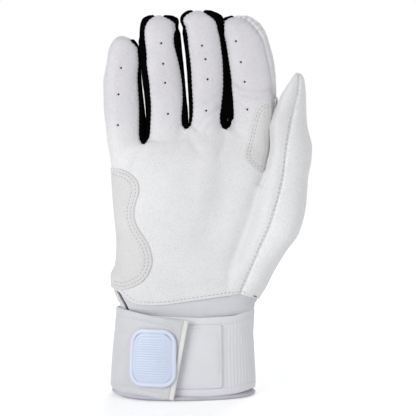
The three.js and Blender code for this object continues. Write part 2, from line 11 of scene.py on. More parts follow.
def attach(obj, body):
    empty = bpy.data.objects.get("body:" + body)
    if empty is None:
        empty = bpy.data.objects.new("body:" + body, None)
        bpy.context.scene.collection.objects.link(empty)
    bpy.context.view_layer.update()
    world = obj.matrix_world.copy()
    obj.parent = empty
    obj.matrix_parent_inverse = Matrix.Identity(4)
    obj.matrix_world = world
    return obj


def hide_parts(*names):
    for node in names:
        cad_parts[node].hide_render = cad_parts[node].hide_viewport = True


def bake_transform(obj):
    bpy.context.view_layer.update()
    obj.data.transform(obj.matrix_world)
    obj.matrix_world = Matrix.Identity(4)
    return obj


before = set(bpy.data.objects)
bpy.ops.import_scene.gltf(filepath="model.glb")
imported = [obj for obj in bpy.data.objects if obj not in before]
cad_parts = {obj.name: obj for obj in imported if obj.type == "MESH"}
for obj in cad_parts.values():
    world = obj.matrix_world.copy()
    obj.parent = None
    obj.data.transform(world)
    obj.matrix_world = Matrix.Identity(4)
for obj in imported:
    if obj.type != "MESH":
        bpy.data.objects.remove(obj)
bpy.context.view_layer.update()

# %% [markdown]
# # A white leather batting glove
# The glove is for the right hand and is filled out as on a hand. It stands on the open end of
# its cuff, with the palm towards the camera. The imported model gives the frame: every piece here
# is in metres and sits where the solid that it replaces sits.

MM = 0.001

# %% [markdown]
# ## Camera and stage
# The photograph looks at the palm almost level, from a little above. The field is 262 mm wide at
# the glove, and the photograph is 416 pixels wide, so a pixel is 0.63 mm there. With the same
# camera a point that was read off the photograph can be carried onto the surface of the glove.

# %% Camera
PHOTO_PIXELS = 416
PIXEL = 0.63 * MM
CAMERA_DISTANCE = 700 * MM
CAMERA_RISE = math.radians(3.5)
LOOK_AT = Vector((-0.22 * MM, 0, 118.4 * MM))
SENSOR = 36.0

FORWARD = Vector((0, math.cos(CAMERA_RISE), -math.sin(CAMERA_RISE)))
UP = Vector((0, math.sin(CAMERA_RISE), math.cos(CAMERA_RISE)))
RIGHT = Vector((1, 0, 0))
camera_place = LOOK_AT - FORWARD * CAMERA_DISTANCE

camera_data = bpy.data.cameras.new("camera")
camera_data.sensor_width = SENSOR
camera_data.lens = SENSOR * CAMERA_DISTANCE / (PIXEL * PHOTO_PIXELS)
camera = bpy.data.objects.new("camera", camera_data)
camera.matrix_world = Matrix(((*RIGHT,), (*UP,), (*-FORWARD,))).transposed().to_4x4()
camera.location = camera_place
bpy.context.scene.collection.objects.link(camera)
bpy.context.scene.camera = camera
print("lens in mm:", round(camera_data.lens, 1))


# %% From a pixel to a ray and to a point at a depth
def pixel_ray(px, py):
    """The direction from the camera through a pixel of the photograph."""
    across = (px - PHOTO_PIXELS / 2) * PIXEL / CAMERA_DISTANCE
    rise = (PHOTO_PIXELS / 2 - py) * PIXEL / CAMERA_DISTANCE
    return (FORWARD + RIGHT * across + UP * rise).normalized()


def at_depth(pixels, y):
    """Points (x, z) where the rays of some pixels pass a plane at y, all in millimetres."""
    found = []
    for px, py in pixels:
        ray = pixel_ray(px, py)
        point = camera_place + ray * ((y * MM - camera_place.y) / ray.y)
        found.append((point.x, point.z))
    return np.array(found) / MM


# %% [markdown]
# ## Light and floor
# White leather needs soft light from a wide source, and enough difference between left and right
# for seams and folds to show. The world lights evenly and is pure white to the camera. The floor
# is pale, keeps the glove's shadow, and is lifted to white for camera rays.

# %% A short way to build node trees
scene = bpy.context.scene
scene.view_settings.view_transform = "Standard"
WHITE, BLACK = (1, 1, 1, 1), (0, 0, 0, 1)


def node_tree(owner):
    """Empties the node tree of a material or a world, and returns a function that adds to it."""
    owner.use_nodes = True
    tree = owner.node_tree
    tree.nodes.clear()

    def add(kind, sockets=(), **settings):
        """Adds a node. Each of its sockets, by name or number, gets a value or an output."""
        node = tree.nodes.new("ShaderNode" + kind)
        for name, value in settings.items():
            setattr(node, name, value)
        for name, value in dict(sockets).items():
            if isinstance(value, bpy.types.NodeSocket):
                tree.links.new(value, node.inputs[name])
            else:
                node.inputs[name].default_value = value
        return node.outputs

    return add


def worked(add, operation, *values):
    """The result of a Math node on some values."""
    return add("Math", dict(enumerate(values)), operation=operation)[0]


def ranged(add, value, low, high, to_low=0.0, to_high=1.0, interpolation_type="LINEAR"):
    """A value between low and high carried over to another range, and held at its ends."""
    return add("MapRange", {
        "Value": value, "From Min": low, "From Max": high, "To Min": to_low, "To Max": to_high,
    }, interpolation_type=interpolation_type)["Result"]


def seen_directly(add):
    """A factor of 1 for rays from the camera, off glossy surfaces and through clear ones."""
    path = add("LightPath")
    first = worked(add, "MAXIMUM", path["Is Camera Ray"], path["Is Glossy Ray"])
    return worked(add, "MAXIMUM", first, path["Is Transmission Ray"])


def mesh_object(name, bm, material=None):
    """A new object at the origin from a bmesh, which is freed."""
    mesh = bpy.data.meshes.new(name)
    bm.to_mesh(mesh)
    bm.free()
    if material:
        mesh.materials.append(material)
    made = bpy.data.objects.new(name, mesh)
    scene.collection.objects.link(made)
    return made


# %% World, floor and lamps
WORLD_COLOUR, WORLD_LIGHT = (0.97, 0.98, 1.0, 1), 0.50
world = bpy.data.worlds.new("studio")
scene.world = world
add = node_tree(world)
lit = add("Background", {"Color": WORLD_COLOUR, "Strength": WORLD_LIGHT})
white = add("Background", {"Color": WHITE, "Strength": 1.0})
seen = add("MixShader", {0: seen_directly(add), 1: lit[0], 2: white[0]})
add("OutputWorld", {"Surface": seen[0]})

# The floor is lifted more and more from LIFT_FROM to LIFT_TO, in metres from the glove.
FLOOR_GREY, FLOOR_REACH = (0.86, 0.86, 0.86, 1), 6.0
FLOOR_LIFT_NEAR, FLOOR_LIFT_FAR = 0.30, 0.62
LIFT_FROM, LIFT_TO = 0.16, 0.75
floor_material = bpy.data.materials.new("floor")
add = node_tree(floor_material)
away = add("VectorMath", {0: add("TexCoord")["Object"]}, operation="LENGTH")["Value"]
lift = ranged(add, away, LIFT_FROM, LIFT_TO, FLOOR_LIFT_NEAR, FLOOR_LIFT_FAR, "SMOOTHSTEP")
glow = add("Emission", {"Color": WHITE, "Strength": lift})
nothing = add("Emission", {"Color": BLACK, "Strength": 0.0})
seen = add("MixShader", {0: seen_directly(add), 1: nothing[0], 2: glow[0]})
matte = add("BsdfDiffuse", {"Color": FLOOR_GREY})
add("OutputMaterial", {"Surface": add("AddShader", {0: matte[0], 1: seen[0]})[0]})

bm = bmesh.new()
bmesh.ops.create_grid(bm, x_segments=1, y_segments=1, size=FLOOR_REACH)
floor = mesh_object("floor", bm, floor_material)


def lamp(name, place, size, power):
    """A square soft light aimed at the middle of the glove."""
    data = bpy.data.lights.new(name, "AREA")
    data.size = size
    data.energy = power
    light = bpy.data.objects.new(name, data)
    light.location = place
    light.rotation_euler = (LOOK_AT - Vector(place)).to_track_quat("-Z", "Y").to_euler()
    scene.collection.objects.link(light)


lamp("key", (-0.70, -0.68, 0.32), 0.5, 5.6)
lamp("fill", (0.75, -0.75, 0.35), 0.8, 2.7)
lamp("rear", (0.2, 0.9, 0.7), 0.7, 5.4)
print("stage, world and three lamps made")

# %% [markdown]
# ## Finishes
# The hand is full-grain leather that was tanned white: almost matt, with fine pores, faint
# mottling and slightly darker dust in the pores. Each leather uses one recipe with other values.
# The grain is a fine cell pattern for the pores over slow noise for the lumps. Patterns read
# Object coordinates, so they don't depend on how a piece was cut.


# %% What the finishes share
def new_material(name):
    """A new material, and a function that adds nodes to it."""
    made = bpy.data.materials.new(name)
    return made, node_tree(made)


def noise_at(add, place, scale, detail=3.0, roughness=0.6):
    """Noise from 0 to 1. The scale says how many of its lumps fit in a metre."""
    sockets = {"Vector": place, "Scale": scale, "Detail": detail, "Roughness": roughness}
    return add("TexNoise", sockets)["Fac"]


def mixed(add, factor, first, second, blend_type="MIX"):
    """Two colours mixed by a factor."""
    sockets = {0: factor, 6: first, 7: second}
    return add("Mix", sockets, data_type="RGBA", blend_type=blend_type)[2]


def surfaced(made, add, colour, height, strength, depth, shader):
    """Gives a material its surface: a colour, a bump as deep as depth in millimetres, a gloss."""
    bump = add("Bump", {"Strength": strength, "Distance": depth * MM, "Height": height})
    surface = add("BsdfPrincipled", {"Base Color": colour, "Normal": bump["Normal"], **shader})
    add("OutputMaterial", {"Surface": surface[0]})
    return made


# %% Leather
# Painted shade: the leather of the fingers is darkened from one height to another, but not the
# thumb's.
FINGER_SHADE_FROM, FINGER_SHADE_TO = 0.142, 0.190
THUMB_FROM, THUMB_TO = 0.041, 0.047
CREASE_WIDE = 0.22
LUMP_SIZE, LUMP_SHARE = 3.2, 0.55
GRAIN_DEPTH = 0.22
PORE_DARK = 0.16
GLOSS_VARIES = 0.07


def leather(name, colour, shade, roughness, pore=0.9, depth=0.35, finger_shade=(1, 1, 1)):
    """Fine-grained leather. pore is its grain's size in millimetres; the last tint is painted shade
    on the fingers.
    """
    made, add = new_material(name)
    place = add("TexCoord")["Object"]
    cells = add("TexVoronoi", {
        "Vector": place, "Scale": 1 / (pore * MM), "Randomness": 1.0,
    }, feature="DISTANCE_TO_EDGE")
    creased = ranged(add, cells["Distance"], 0.0, CREASE_WIDE)
    lumps = noise_at(add, place, 1 / (LUMP_SIZE * MM), 4.0, 0.62)
    grain = add("Mix", {0: LUMP_SHARE, 2: creased, 3: lumps}, data_type="FLOAT")[0]
    clouds = ranged(add, noise_at(add, place, 38.0, 3.0, 0.55), 0.35, 0.68)
    toned = mixed(add, clouds, (*colour, 1), (*shade, 1))
    pored = mixed(add, PORE_DARK, toned, creased, "MULTIPLY")
    axes = add("SeparateXYZ", {0: place})
    # Painted shade: the fingers, but not the thumb, are multiplied by a darker tint.
    fingers = ranged(add, axes["Z"], FINGER_SHADE_FROM, FINGER_SHADE_TO, interpolation_type="SMOOTHSTEP")
    not_thumb = ranged(add, axes["X"], THUMB_FROM, THUMB_TO, 1.0, 0.0)
    shade_share = worked(add, "MULTIPLY", fingers, not_thumb)
    gloss = ranged(add, noise_at(add, place, 260.0), 0.0, 1.0, roughness - GLOSS_VARIES,
                   roughness + GLOSS_VARIES)
    shader = {"Roughness": gloss, "Sheen Weight": 0.08, "Specular IOR Level": 0.38}
    return surfaced(made, add, mixed(add, shade_share, pored, (*finger_shade, 1), "MULTIPLY"), grain, depth,
                    GRAIN_DEPTH, shader)


# Each white leather's last tint is painted shade on its fingers.
palm_white = leather("palm_white_leather", (0.742, 0.742, 0.752), (0.706, 0.706, 0.716), 0.56,
                     depth=0.18, finger_shade=(0.865, 0.845, 0.868))
back_white = leather("back_white_leather", (0.815, 0.818, 0.830), (0.785, 0.788, 0.802), 0.54,
                     depth=0.24, finger_shade=(0.90, 0.885, 0.90))
patch_white = leather("patch_white_leather", (0.672, 0.664, 0.664), (0.632, 0.624, 0.624), 0.58,
                      0.7, depth=0.26)
strap_leather = leather("strap_smooth_leather", (0.62, 0.625, 0.645), (0.58, 0.585, 0.605), 0.5,
                        0.6, depth=0.12)
cream_trim = leather("cream_trim", (0.80, 0.796, 0.782), (0.74, 0.735, 0.72), 0.55, 0.5, depth=0.12)
print("five leathers made")

# %% Cloth and elastic
# Where a cloth was laid round the cuff, this attribute keeps its places on the flat pattern.
LAID = "laid"
HAIR_SIZE = 0.7


def ripple(add, value, pitch):
    """A wave from 0 to 1 along one coordinate, with its pitch in millimetres."""
    turn = worked(add, "MULTIPLY", value, 2 * math.pi / (pitch * MM))
    return worked(add, "MULTIPLY_ADD", worked(add, "SINE", turn), 0.5, 0.5)


def cloth(name, colour, shade, roughness, pitches, depth, fuzz=0.5, sheen=0.15, across="X",
          laid=True, specular=0.25):
    """Yarns that cross. Their pitches, across and up, and their depth are in millimetres."""
    made, add = new_material(name)
    in_place = add("TexCoord")["Object"]
    pattern = add("Attribute", attribute_name=LAID)["Vector"] if laid else in_place
    axes = add("SeparateXYZ", {0: pattern})
    yarns = worked(add, "MULTIPLY", *(
        ripple(add, axes[axis], pitch) for axis, pitch in zip((across, "Z"), pitches)
    ))
    hairs = noise_at(add, in_place, 1 / (HAIR_SIZE * MM), 3.0, 0.7)
    clouds = worked(add, "MULTIPLY", noise_at(add, in_place, 60.0), 0.5)
    shades = worked(add, "MULTIPLY_ADD", yarns, 0.55, clouds)
    shader = {
        "Roughness": roughness, "Sheen Weight": sheen, "Sheen Roughness": 0.5,
        "Specular IOR Level": specular,
    }
    return surfaced(made, add, mixed(add, shades, (*shade, 1), (*colour, 1)),
                    worked(add, "MULTIPLY_ADD", hairs, fuzz, yarns), 0.9, depth, shader)


black_knit = cloth("black_side_knit", (0.0030, 0.0030, 0.0036), (0.0012, 0.0012, 0.0015), 0.9,
                   (0.9, 0.7), 0.16, sheen=0.0, across="Y", laid=False, specular=0.0)
lining_knit = cloth("lavender_lining_knit", (0.60, 0.59, 0.66), (0.47, 0.46, 0.53), 0.9,
                    (0.8, 0.7), 0.14)
band_elastic = cloth("elastic_band_cloth", (0.76, 0.76, 0.785), (0.66, 0.66, 0.69), 0.75,
                     (0.77, 0.55), 0.08)
wrist_cloth = cloth("wrist_panel_cloth", (0.66, 0.66, 0.69), (0.57, 0.57, 0.60), 0.7, (0.5, 0.5),
                    0.05, fuzz=0.8, laid=False)
loop_fabric = cloth("loop_pile", (0.78, 0.78, 0.805), (0.67, 0.67, 0.70), 0.85, (0.6, 0.6), 0.10,
                    fuzz=1.4)
print("five cloths made")


# %% Plastic, rubber and thread
def smooth_stuff(name, colour, shade, roughness, grain, depth):
    """A nearly even colour, with a fine grain in millimetres."""
    made, add = new_material(name)
    place = add("TexCoord")["Object"]
    clouds = noise_at(add, place, 90.0, 2.0, 0.5)
    return surfaced(made, add, mixed(add, clouds, (*shade, 1), (*colour, 1)),
                    noise_at(add, place, 1 / (grain * MM), 4.0), 0.8, depth,
                    {"Roughness": roughness, "Specular IOR Level": 0.5})


# The grey thread's colour is partly the thread's own grey and partly painted shade of the stitch
# holes.
hook_plastic, pull_rubber, pull_rim_rubber, white_thread, grey_thread, dark_thread = (
    smooth_stuff(*finish) for finish in (
        ("hook_plastic", (0.62, 0.62, 0.66), (0.5, 0.5, 0.54), 0.5, 0.5, 0.25),
        ("pull_rubber", (0.56, 0.62, 0.76), (0.51, 0.57, 0.71), 0.42, 0.8, 0.02),
        ("pull_rim_rubber", (0.62, 0.67, 0.79), (0.57, 0.62, 0.75), 0.4, 0.8, 0.02),
        ("white_thread", (0.56, 0.56, 0.56), (0.46, 0.46, 0.46), 0.6, 0.25, 0.06),
        ("grey_thread", (0.32, 0.32, 0.33), (0.25, 0.25, 0.26), 0.6, 0.25, 0.06),
        ("dark_thread", (0.10, 0.09, 0.08), (0.06, 0.055, 0.05), 0.6, 0.25, 0.06),
    )
)
print("plastic, rubber and thread made")

# %% [markdown]
# ## The skin of the hand
# Palm, thumb and fingers are drawn as flat oval sections, one row for each height, as the solids
# are. Here a smooth cubic runs through the rows, so that each form is a soft tube, and the tubes
# are joined into one skin. A voxel remesh joins them with natural webs between the fingers, which
# no sweep could give. Two fingers can lie closer together than a voxel, so before the remesh all
# of them are pushed apart along a map that can be undone exactly, and afterwards it is undone.

# %% Sections of the palm, thumb and fingers, in millimetres
# Each row is height, left, right, front, back.
PALM_ROWS = [
    (58.0, -57.2, 30.6, -19.5, 19.0), (67.7, -60.7, 35.0, -20.5, 18.6),
    (75.7, -60.9, 37.0, -21.0, 18.4), (83.7, -58.1, 38.5, -20.8, 18.2),
    (96.7, -57.5, 40.0, -20.0, 18.0), (119.7, -59.3, 41.8, -18.5, 17.0),
    (135.7, -60.4, 42.6, -17.0, 16.0), (148.7, -61.6, 42.6, -15.2, 14.6),
    (156.7, -62.9, 42.6, -13.0, 13.0), (159.2, -63.2, 42.8, -12.2, 12.3),
    (160.4, -50.0, 42.6, -11.6, 11.9), (161.9, -38.2, 42.4, -11.1, 11.4),
    (164.7, -37.0, 42.0, -10.7, 10.8), (167.0, -30.0, 34.0, -9.0, 9.2),
    (168.4, -22.0, 24.0, -7.5, 8.0),
]
THUMB_ROWS = [
    (59.7, 2.0, 31.0, -15.0, 12.0), (67.7, 4.0, 35.7, -20.0, 14.0), (79.7, 8.0, 41.7, -23.0, 14.5),
    (91.7, 14.0, 48.7, -25.0, 14.5), (103.7, 20.0, 56.7, -25.5, 13.0),
    (119.7, 27.0, 60.8, -24.0, 11.0), (131.0, 31.0, 62.0, -21.6, 9.6),
    (137.0, 33.4, 62.7, -20.0, 9.0), (148.7, 37.2, 64.9, -18.0, 8.5),
    (156.7, 38.8, 65.6, -17.0, 8.0), (170.7, 38.6, 62.4, -16.0, 7.0),
    (178.0, 40.6, 61.6, -15.6, 6.2), (186.7, 43.8, 61.1, -15.0, 5.0),
    (192.7, 47.0, 60.6, -14.0, 3.5), (199.2, 51.4, 59.6, -12.0, 0.0),
    (203.0, 54.0, 57.5, -8.5, -4.0),
]
LITTLE_ROWS = [
    (143.7, -59.3, -45.8, -8.4, 8.4), (158.7, -63.4, -40.7, -10.0, 10.0),
    (169.7, -64.7, -40.1, -10.0, 10.0), (183.7, -65.7, -41.0, -10.0, 9.8),
    (196.7, -65.8, -42.6, -10.0, 9.4), (207.7, -63.8, -43.6, -10.0, 9.0),
    (217.7, -62.1, -43.6, -9.6, 8.4), (222.7, -59.6, -46.0, -8.0, 7.2),
    (225.3, -57.0, -49.2, -5.2, 4.8), (226.3, -55.0, -52.0, -2.4, 2.4),
]
RING_ROWS = [
    (143.7, -37.0, -16.0, -10.5, 10.5), (163.7, -38.0, -13.0, -10.5, 10.5),
    (174.7, -38.1, -13.0, -10.5, 10.5), (189.7, -39.4, -14.1, -10.5, 10.3),
    (207.7, -40.9, -15.4, -10.5, 9.9), (225.7, -43.0, -17.2, -10.3, 9.2),
    (231.9, -42.6, -18.0, -9.2, 8.4), (236.6, -41.0, -19.4, -6.9, 6.4),
    (238.6, -37.5, -22.6, -3.8, 3.6),
]
MIDDLE_ROWS = [
    (143.7, -10.0, 10.0, -10.5, 10.5), (165.7, -11.8, 11.7, -10.5, 10.5),
    (176.7, -11.7, 11.8, -10.5, 10.5), (191.7, -12.5, 11.7, -10.5, 10.3),
    (207.7, -13.8, 11.2, -10.5, 9.9), (225.7, -15.9, 9.3, -10.3, 9.2),
    (234.7, -17.2, 8.7, -9.2, 8.4), (239.6, -16.0, 6.2, -6.9, 6.4), (241.7, -13.2, 1.8, -3.8, 3.6),
]
INDEX_ROWS = [
    (143.7, 15.8, 39.4, -10.5, 10.5), (165.7, 12.4, 42.8, -10.5, 10.5),
    (176.7, 12.4, 43.0, -10.5, 10.5), (191.7, 12.3, 42.6, -10.5, 10.3),
    (207.7, 11.9, 41.4, -10.5, 9.9), (219.7, 10.6, 38.6, -10.3, 9.4),
    (229.9, 9.0, 34.8, -9.4, 8.4), (236.0, 10.2, 29.4, -6.9, 6.3), (238.6, 14.6, 24.6, -3.6, 3.4),
]
# The webs fill the foot of each gap. WEBS gives the top of each, and WEB_SHAPE rows down from the
# top with half the web's depth there.
WEBS = {("little", "ring"): 163.4, ("ring", "middle"): 171.2, ("middle", "index"): 171.2}
WEB_SHAPE = [(0.0, 3.0), (0.6, 6.2), (1.6, 8.6), (3.0, 9.8), (5.0, 10.2), (16.0, 10.2)]
WEB_HALF_WIDTH, WEB_SIDES, WEB_POWER = 6.0, 32, 3.0
# How square the ovals are: 2 is an ellipse.
HAND_POWER, FINGER_POWER = 2.5, 2.45
# How far the left edge of a thumb section leans forward and its right edge back, by height.
THUMB_LEAN = [(60, 0.0), (115, 0.0), (137, 4.5), (160, 6.5), (186, 4.0), (203, 1.0)]
FORMS = {
    "palm": (PALM_ROWS, HAND_POWER), "thumb": (THUMB_ROWS, FINGER_POWER),
    "little": (LITTLE_ROWS, FINGER_POWER), "ring": (RING_ROWS, FINGER_POWER),
    "middle": (MIDDLE_ROWS, FINGER_POWER), "index": (INDEX_ROWS, FINGER_POWER),
}


# %% A cubic through rows that doesn't overshoot
def cubic_through(at, values, wanted):
    """Values of a monotone cubic through rows, at the wanted places."""
    at = np.asarray(at, float)
    values = np.asarray(values, float)
    step = np.diff(at)
    slope = np.diff(values, axis=0) / step[:, None]
    tangent = np.zeros_like(values)
    tangent[0] = slope[0]
    tangent[-1] = slope[-1]
    before, after = slope[:-1], slope[1:]
    w1 = (2 * step[1:] + step[:-1])[:, None]
    w2 = (step[1:] + 2 * step[:-1])[:, None]
    same = before * after > 0
    safe_before = np.where(same, before, 1)
    safe_after = np.where(same, after, 1)
    tangent[1:-1] = np.where(same, (w1 + w2) / (w1 / safe_before + w2 / safe_after), 0)
    found = np.clip(np.searchsorted(at, wanted, side="right") - 1, 0, len(at) - 2)
    part = ((wanted - at[found]) / step[found])[:, None]
    width = step[found][:, None]
    start, end = values[found], values[found + 1]
    return (
        start * (2 * part**3 - 3 * part**2 + 1) + end * (3 * part**2 - 2 * part**3)
        + tangent[found] * width * (part**3 - 2 * part**2 + part)
        + tangent[found + 1] * width * (part**3 - part**2)
    )


def edges_at(form, heights):
    """Left, right, front and back of a form at some heights, in millimetres."""
    rows = np.array(FORMS[form][0])
    wanted = np.clip(heights, rows[0, 0], rows[-1, 0])
    return cubic_through(rows[:, 0], rows[:, 1:], wanted)


# %% The map that spreads the fingers and the thumb
# Between neighbours runs a parting line. Everything right of it moves aside, more with height.
SPREAD, THUMB_SPREAD = 3.6, 7.0
PARTING_BLUR = 1.0
# The heights at which each parting starts to open and is fully open.
GAPS = {
    ("little", "ring"): (153.0, 168.0), ("ring", "middle"): (162.0, 177.0),
    ("middle", "index"): (162.0, 177.0),
}
THUMB_GAP = (127.0, 146.0)
THUMB_PARTING_X, THUMB_PARTING_Y, THUMB_PARTING_SLOPE = 43.1, -2.0, 0.55


def eased(value, start, end):
    """0 before start, 1 after end, and smooth between."""
    part = np.clip((value - start) / (end - start), 0, 1)
    return part * part * (3 - 2 * part)


GAP_HEIGHTS = np.arange(100.0, 250.0, 0.5)
TIP_ROUNDS = 3.0


def gap_table(pair):
    """The middle of the gap between two fingers and half its width, at each of GAP_HEIGHTS."""
    top = min(FORMS[finger][0][-1][0] for finger in pair) - TIP_ROUNDS
    heights = np.minimum(GAP_HEIGHTS, top)
    left_edge = edges_at(pair[0], heights)[:, 1]
    right_edge = edges_at(pair[1], heights)[:, 0]
    return (left_edge + right_edge) / 2, (right_edge - left_edge) / 2


GAP_TABLES = {pair: gap_table(pair) for pair in GAPS}


def gap_line(pair, z):
    """The x of the middle of the gap between two fingers at height z."""
    return np.interp(z, GAP_HEIGHTS, GAP_TABLES[pair][0])


def gap_half(pair, z):
    """Half the width of that gap, as drawn."""
    return np.interp(z, GAP_HEIGHTS, GAP_TABLES[pair][1])


def thumb_line(y):
    """The x of the slanted parting between the thumb and the hand."""
    return THUMB_PARTING_X + THUMB_PARTING_SLOPE * np.minimum(0, y - THUMB_PARTING_Y)


def partings(co):
    """The parting lines at each point, with how far each one opens."""
    y, z = co[:, 1], co[:, 2]
    lines = [(gap_line(pair, z), SPREAD * eased(z, *opens)) for pair, opens in GAPS.items()]
    return [*lines, (thumb_line(y), THUMB_SPREAD * eased(z, *THUMB_GAP))]


def spread(co):
    """Points in millimetres moved to where the fingers stand apart."""
    moved = co.copy()
    for line, opening in partings(co):
        moved[:, 0] += opening * np.clip((co[:, 0] - line) / (2 * PARTING_BLUR) + 0.5, 0, 1)
    return moved


def gathered(co):
    """Spread points moved back to their places."""
    x = co[:, 0].copy()
    for line, opening in partings(co):
        low = line - PARTING_BLUR
        inside = low + (x - low) * 2 * PARTING_BLUR / (2 * PARTING_BLUR + opening)
        x = np.where(x <= low, x, np.where(x >= line + PARTING_BLUR + opening, x - opening, inside))
    return np.column_stack([x, co[:, 1], co[:, 2]])


# %% Soft tubes through the sections, joined by a remesh
ROW_STEP = 1.6
SIDES = 96
VOXEL = 0.8 * MM


def oval(left, right, front, back, turns, power, lean):
    """A flat oval as x and y, sheared so that its left edge leans forward."""
    c, s = np.cos(turns), np.sin(turns)
    across = np.sign(c) * np.abs(c) ** (2 / power)
    deep = np.sign(s) * np.abs(s) ** (2 / power)
    x = (left + right) / 2 + (right - left) / 2 * across
    y = (front + back) / 2 + (back - front) / 2 * deep + lean * across
    return x, y


def add_tube(bm, sections, sides, power):
    """A closed soft tube in the spread places. A section is a height, an oval and its lean."""
    turns = np.arange(sides) / sides * 2 * math.pi
    loops = []
    for z, edges, lean in sections:
        x, y = oval(*edges, turns, power, lean)
        places = spread(np.column_stack([x, y, np.full(sides, z)])) * MM
        ring = [bm.verts.new(place) for place in places]
        loops.append([bm.edges.new((ring[i], ring[(i + 1) % sides])) for i in range(sides)])
    for lower, upper in zip(loops, loops[1:]):
        bmesh.ops.bridge_loops(bm, edges=lower + upper)
    for loop in (loops[0], loops[-1]):
        bmesh.ops.edgeloop_fill(bm, edges=loop)


def form_sections(form):
    """The sections of the palm, the thumb or a finger."""
    rows = FORMS[form][0]
    low, high = rows[0][0], rows[-1][0]
    heights = np.linspace(low, high, int((high - low) / ROW_STEP) + 1)
    lean = np.interp(heights, *np.array(THUMB_LEAN).T) if form == "thumb" else heights * 0
    return zip(heights, edges_at(form, heights), lean)


def web_sections(pair):
    """The sections of the slab that fills the foot of the gap between two fingers."""
    for down, depth in WEB_SHAPE:
        z = WEBS[pair] - down
        middle = float(gap_line(pair, z))
        yield z, (middle - WEB_HALF_WIDTH, middle + WEB_HALF_WIDTH, -depth, depth), 0.0


bm = bmesh.new()
for form, (_, power) in FORMS.items():
    add_tube(bm, form_sections(form), SIDES, power)
for pair in WEBS:
    add_tube(bm, web_sections(pair), WEB_SIDES, WEB_POWER)
bmesh.ops.recalc_face_normals(bm, faces=bm.faces[:])
tubes = mesh_object("tubes", bm)
remesh = tubes.modifiers.new("join", "REMESH")
remesh.mode = "VOXEL"
remesh.voxel_size = VOXEL
remesh.adaptivity = 0.0
skin = bpy.data.meshes.new_from_object(tubes.evaluated_get(bpy.context.evaluated_depsgraph_get()))
bpy.data.objects.remove(tubes)
print("skin:", len(skin.vertices), "points")


# %% Smooth the steps out and bring the fingers together
def mesh_arrays(mesh):
    """Points in millimetres and the edges of a mesh, as arrays."""
    co = np.empty(len(mesh.vertices) * 3, np.float32)
    mesh.vertices.foreach_get("co", co)
    ends = np.empty(len(mesh.edges) * 2, np.int32)
    mesh.edges.foreach_get("vertices", ends)
    return co.reshape(-1, 3).astype(float) / MM, ends.reshape(-1, 2)


def averaged(values, ends):
    """For each point the mean of its neighbours' values."""
    count = np.bincount(ends.ravel(), minlength=len(values))
    total = np.zeros_like(values)
    for axis in range(values.shape[1]):
        total[:, axis] = (
            np.bincount(ends[:, 0], weights=values[ends[:, 1], axis], minlength=len(values))
            + np.bincount(ends[:, 1], weights=values[ends[:, 0], axis], minlength=len(values))
        )
    return total / np.maximum(count, 1)[:, None]


def relaxed(co, ends, rounds, share=0.5, back=-0.52):
    """Points smoothed by steps in. A step back out after each one keeps the size."""
    for _ in range(rounds):
        co = co + share * (averaged(co, ends) - co)
        if back:
            co = co + back * (averaged(co, ends) - co)
    return co


SMOOTH_ROUNDS, WEB_ROUNDS = 10, 14
WEB_FROM, WEB_TO = (120, 132), (171, 178)

co, ends = mesh_arrays(skin)
co = gathered(relaxed(co, ends, SMOOTH_ROUNDS))
# The webs and the fold at the thumb are rounder than where two tubes meet.
at_web = eased(co[:, 2], *WEB_FROM) * (1 - eased(co[:, 2], *WEB_TO))
softer = relaxed(co, ends, WEB_ROUNDS, back=None)
co = co + at_web[:, None] * (softer - co)

# Half the gap that stays open between two fingers, in millimetres, by height.
OPEN_GAPS = {
    ("little", "ring"): [
        (160, 0.15), (172, 0.15), (178, 0.5), (190, 0.6), (204, 0.3), (208, 0.08), (226, 0.08),
    ],
    ("ring", "middle"): [
        (160, 0.15), (174, 0.15), (178, 0.5), (190, 0.8), (202, 1.15), (214, 1.3), (222, 1.2),
        (227.5, 1.0), (231, 2.6), (234.5, 0.6), (240, 0.6),
    ],
    ("middle", "index"): [(160, 0.12), (240, 0.12)],
}
# Where each gap starts to close and is closed, where near the tips it no longer is, and how much
# wider than drawn it has become at the tips by smoothing.
CLOSING = {
    ("little", "ring"): (157, 163.5, 219, 226, 0.6),
    ("ring", "middle"): (168.5, 173, 237, 242, 0.0),
    ("middle", "index"): (170, 175, 236, 242, 1.0),
}
TIP_FROM, TIP_FULL = 16, 6
SIDE_BULGE = 6.0
SMOOTHED_AWAY = 0.6


def gaps_closed(co):
    """Points drawn towards the gap beside them until it is as narrow as OPEN_GAPS says."""
    x, z = co[:, 0], co[:, 2]
    moved = x.copy()
    for pair, rows in OPEN_GAPS.items():
        line = gap_line(pair, z)
        start, closed, still, open_again, tips = CLOSING[pair]
        half = gap_half(pair, z) + SMOOTHED_AWAY
        half += tips * eased(z, still - TIP_FROM, still - TIP_FULL)
        wanted = np.interp(z, *np.array(rows).T)
        closing = eased(z, start, closed) * (1 - eased(z, still, open_again))
        drawn = (half - wanted) * closing
        far = np.abs(x - line)
        inside = far * (half - drawn) / half
        outside = far - drawn * (1 - eased(far - half, 0, SIDE_BULGE))
        moved += np.sign(x - line) * (np.where(far < half, inside, outside) - far)
    return np.column_stack([moved, co[:, 1], z])


def move_skin(co):
    """Puts the points of the skin at some places in millimetres."""
    skin.vertices.foreach_set("co", (co * MM).astype(np.float32).ravel())
    skin.update()


co = gaps_closed(co)
move_skin(co)
print("skin box in mm:", co.min(axis=0).round(1), co.max(axis=0).round(1))

# %% [markdown]
# ## Folds, hollows and lumps
# Leather on a hand isn't a smooth tube. The photograph shows soft folds that run out from the
# webs, a crease across the root of the index finger, a long hollow beside the ball of the thumb
# and faint cross lines at the finger joints. Each one is a line read off the photograph, with a
# depth and a width, and slow noise adds the lumps that no drawing has.

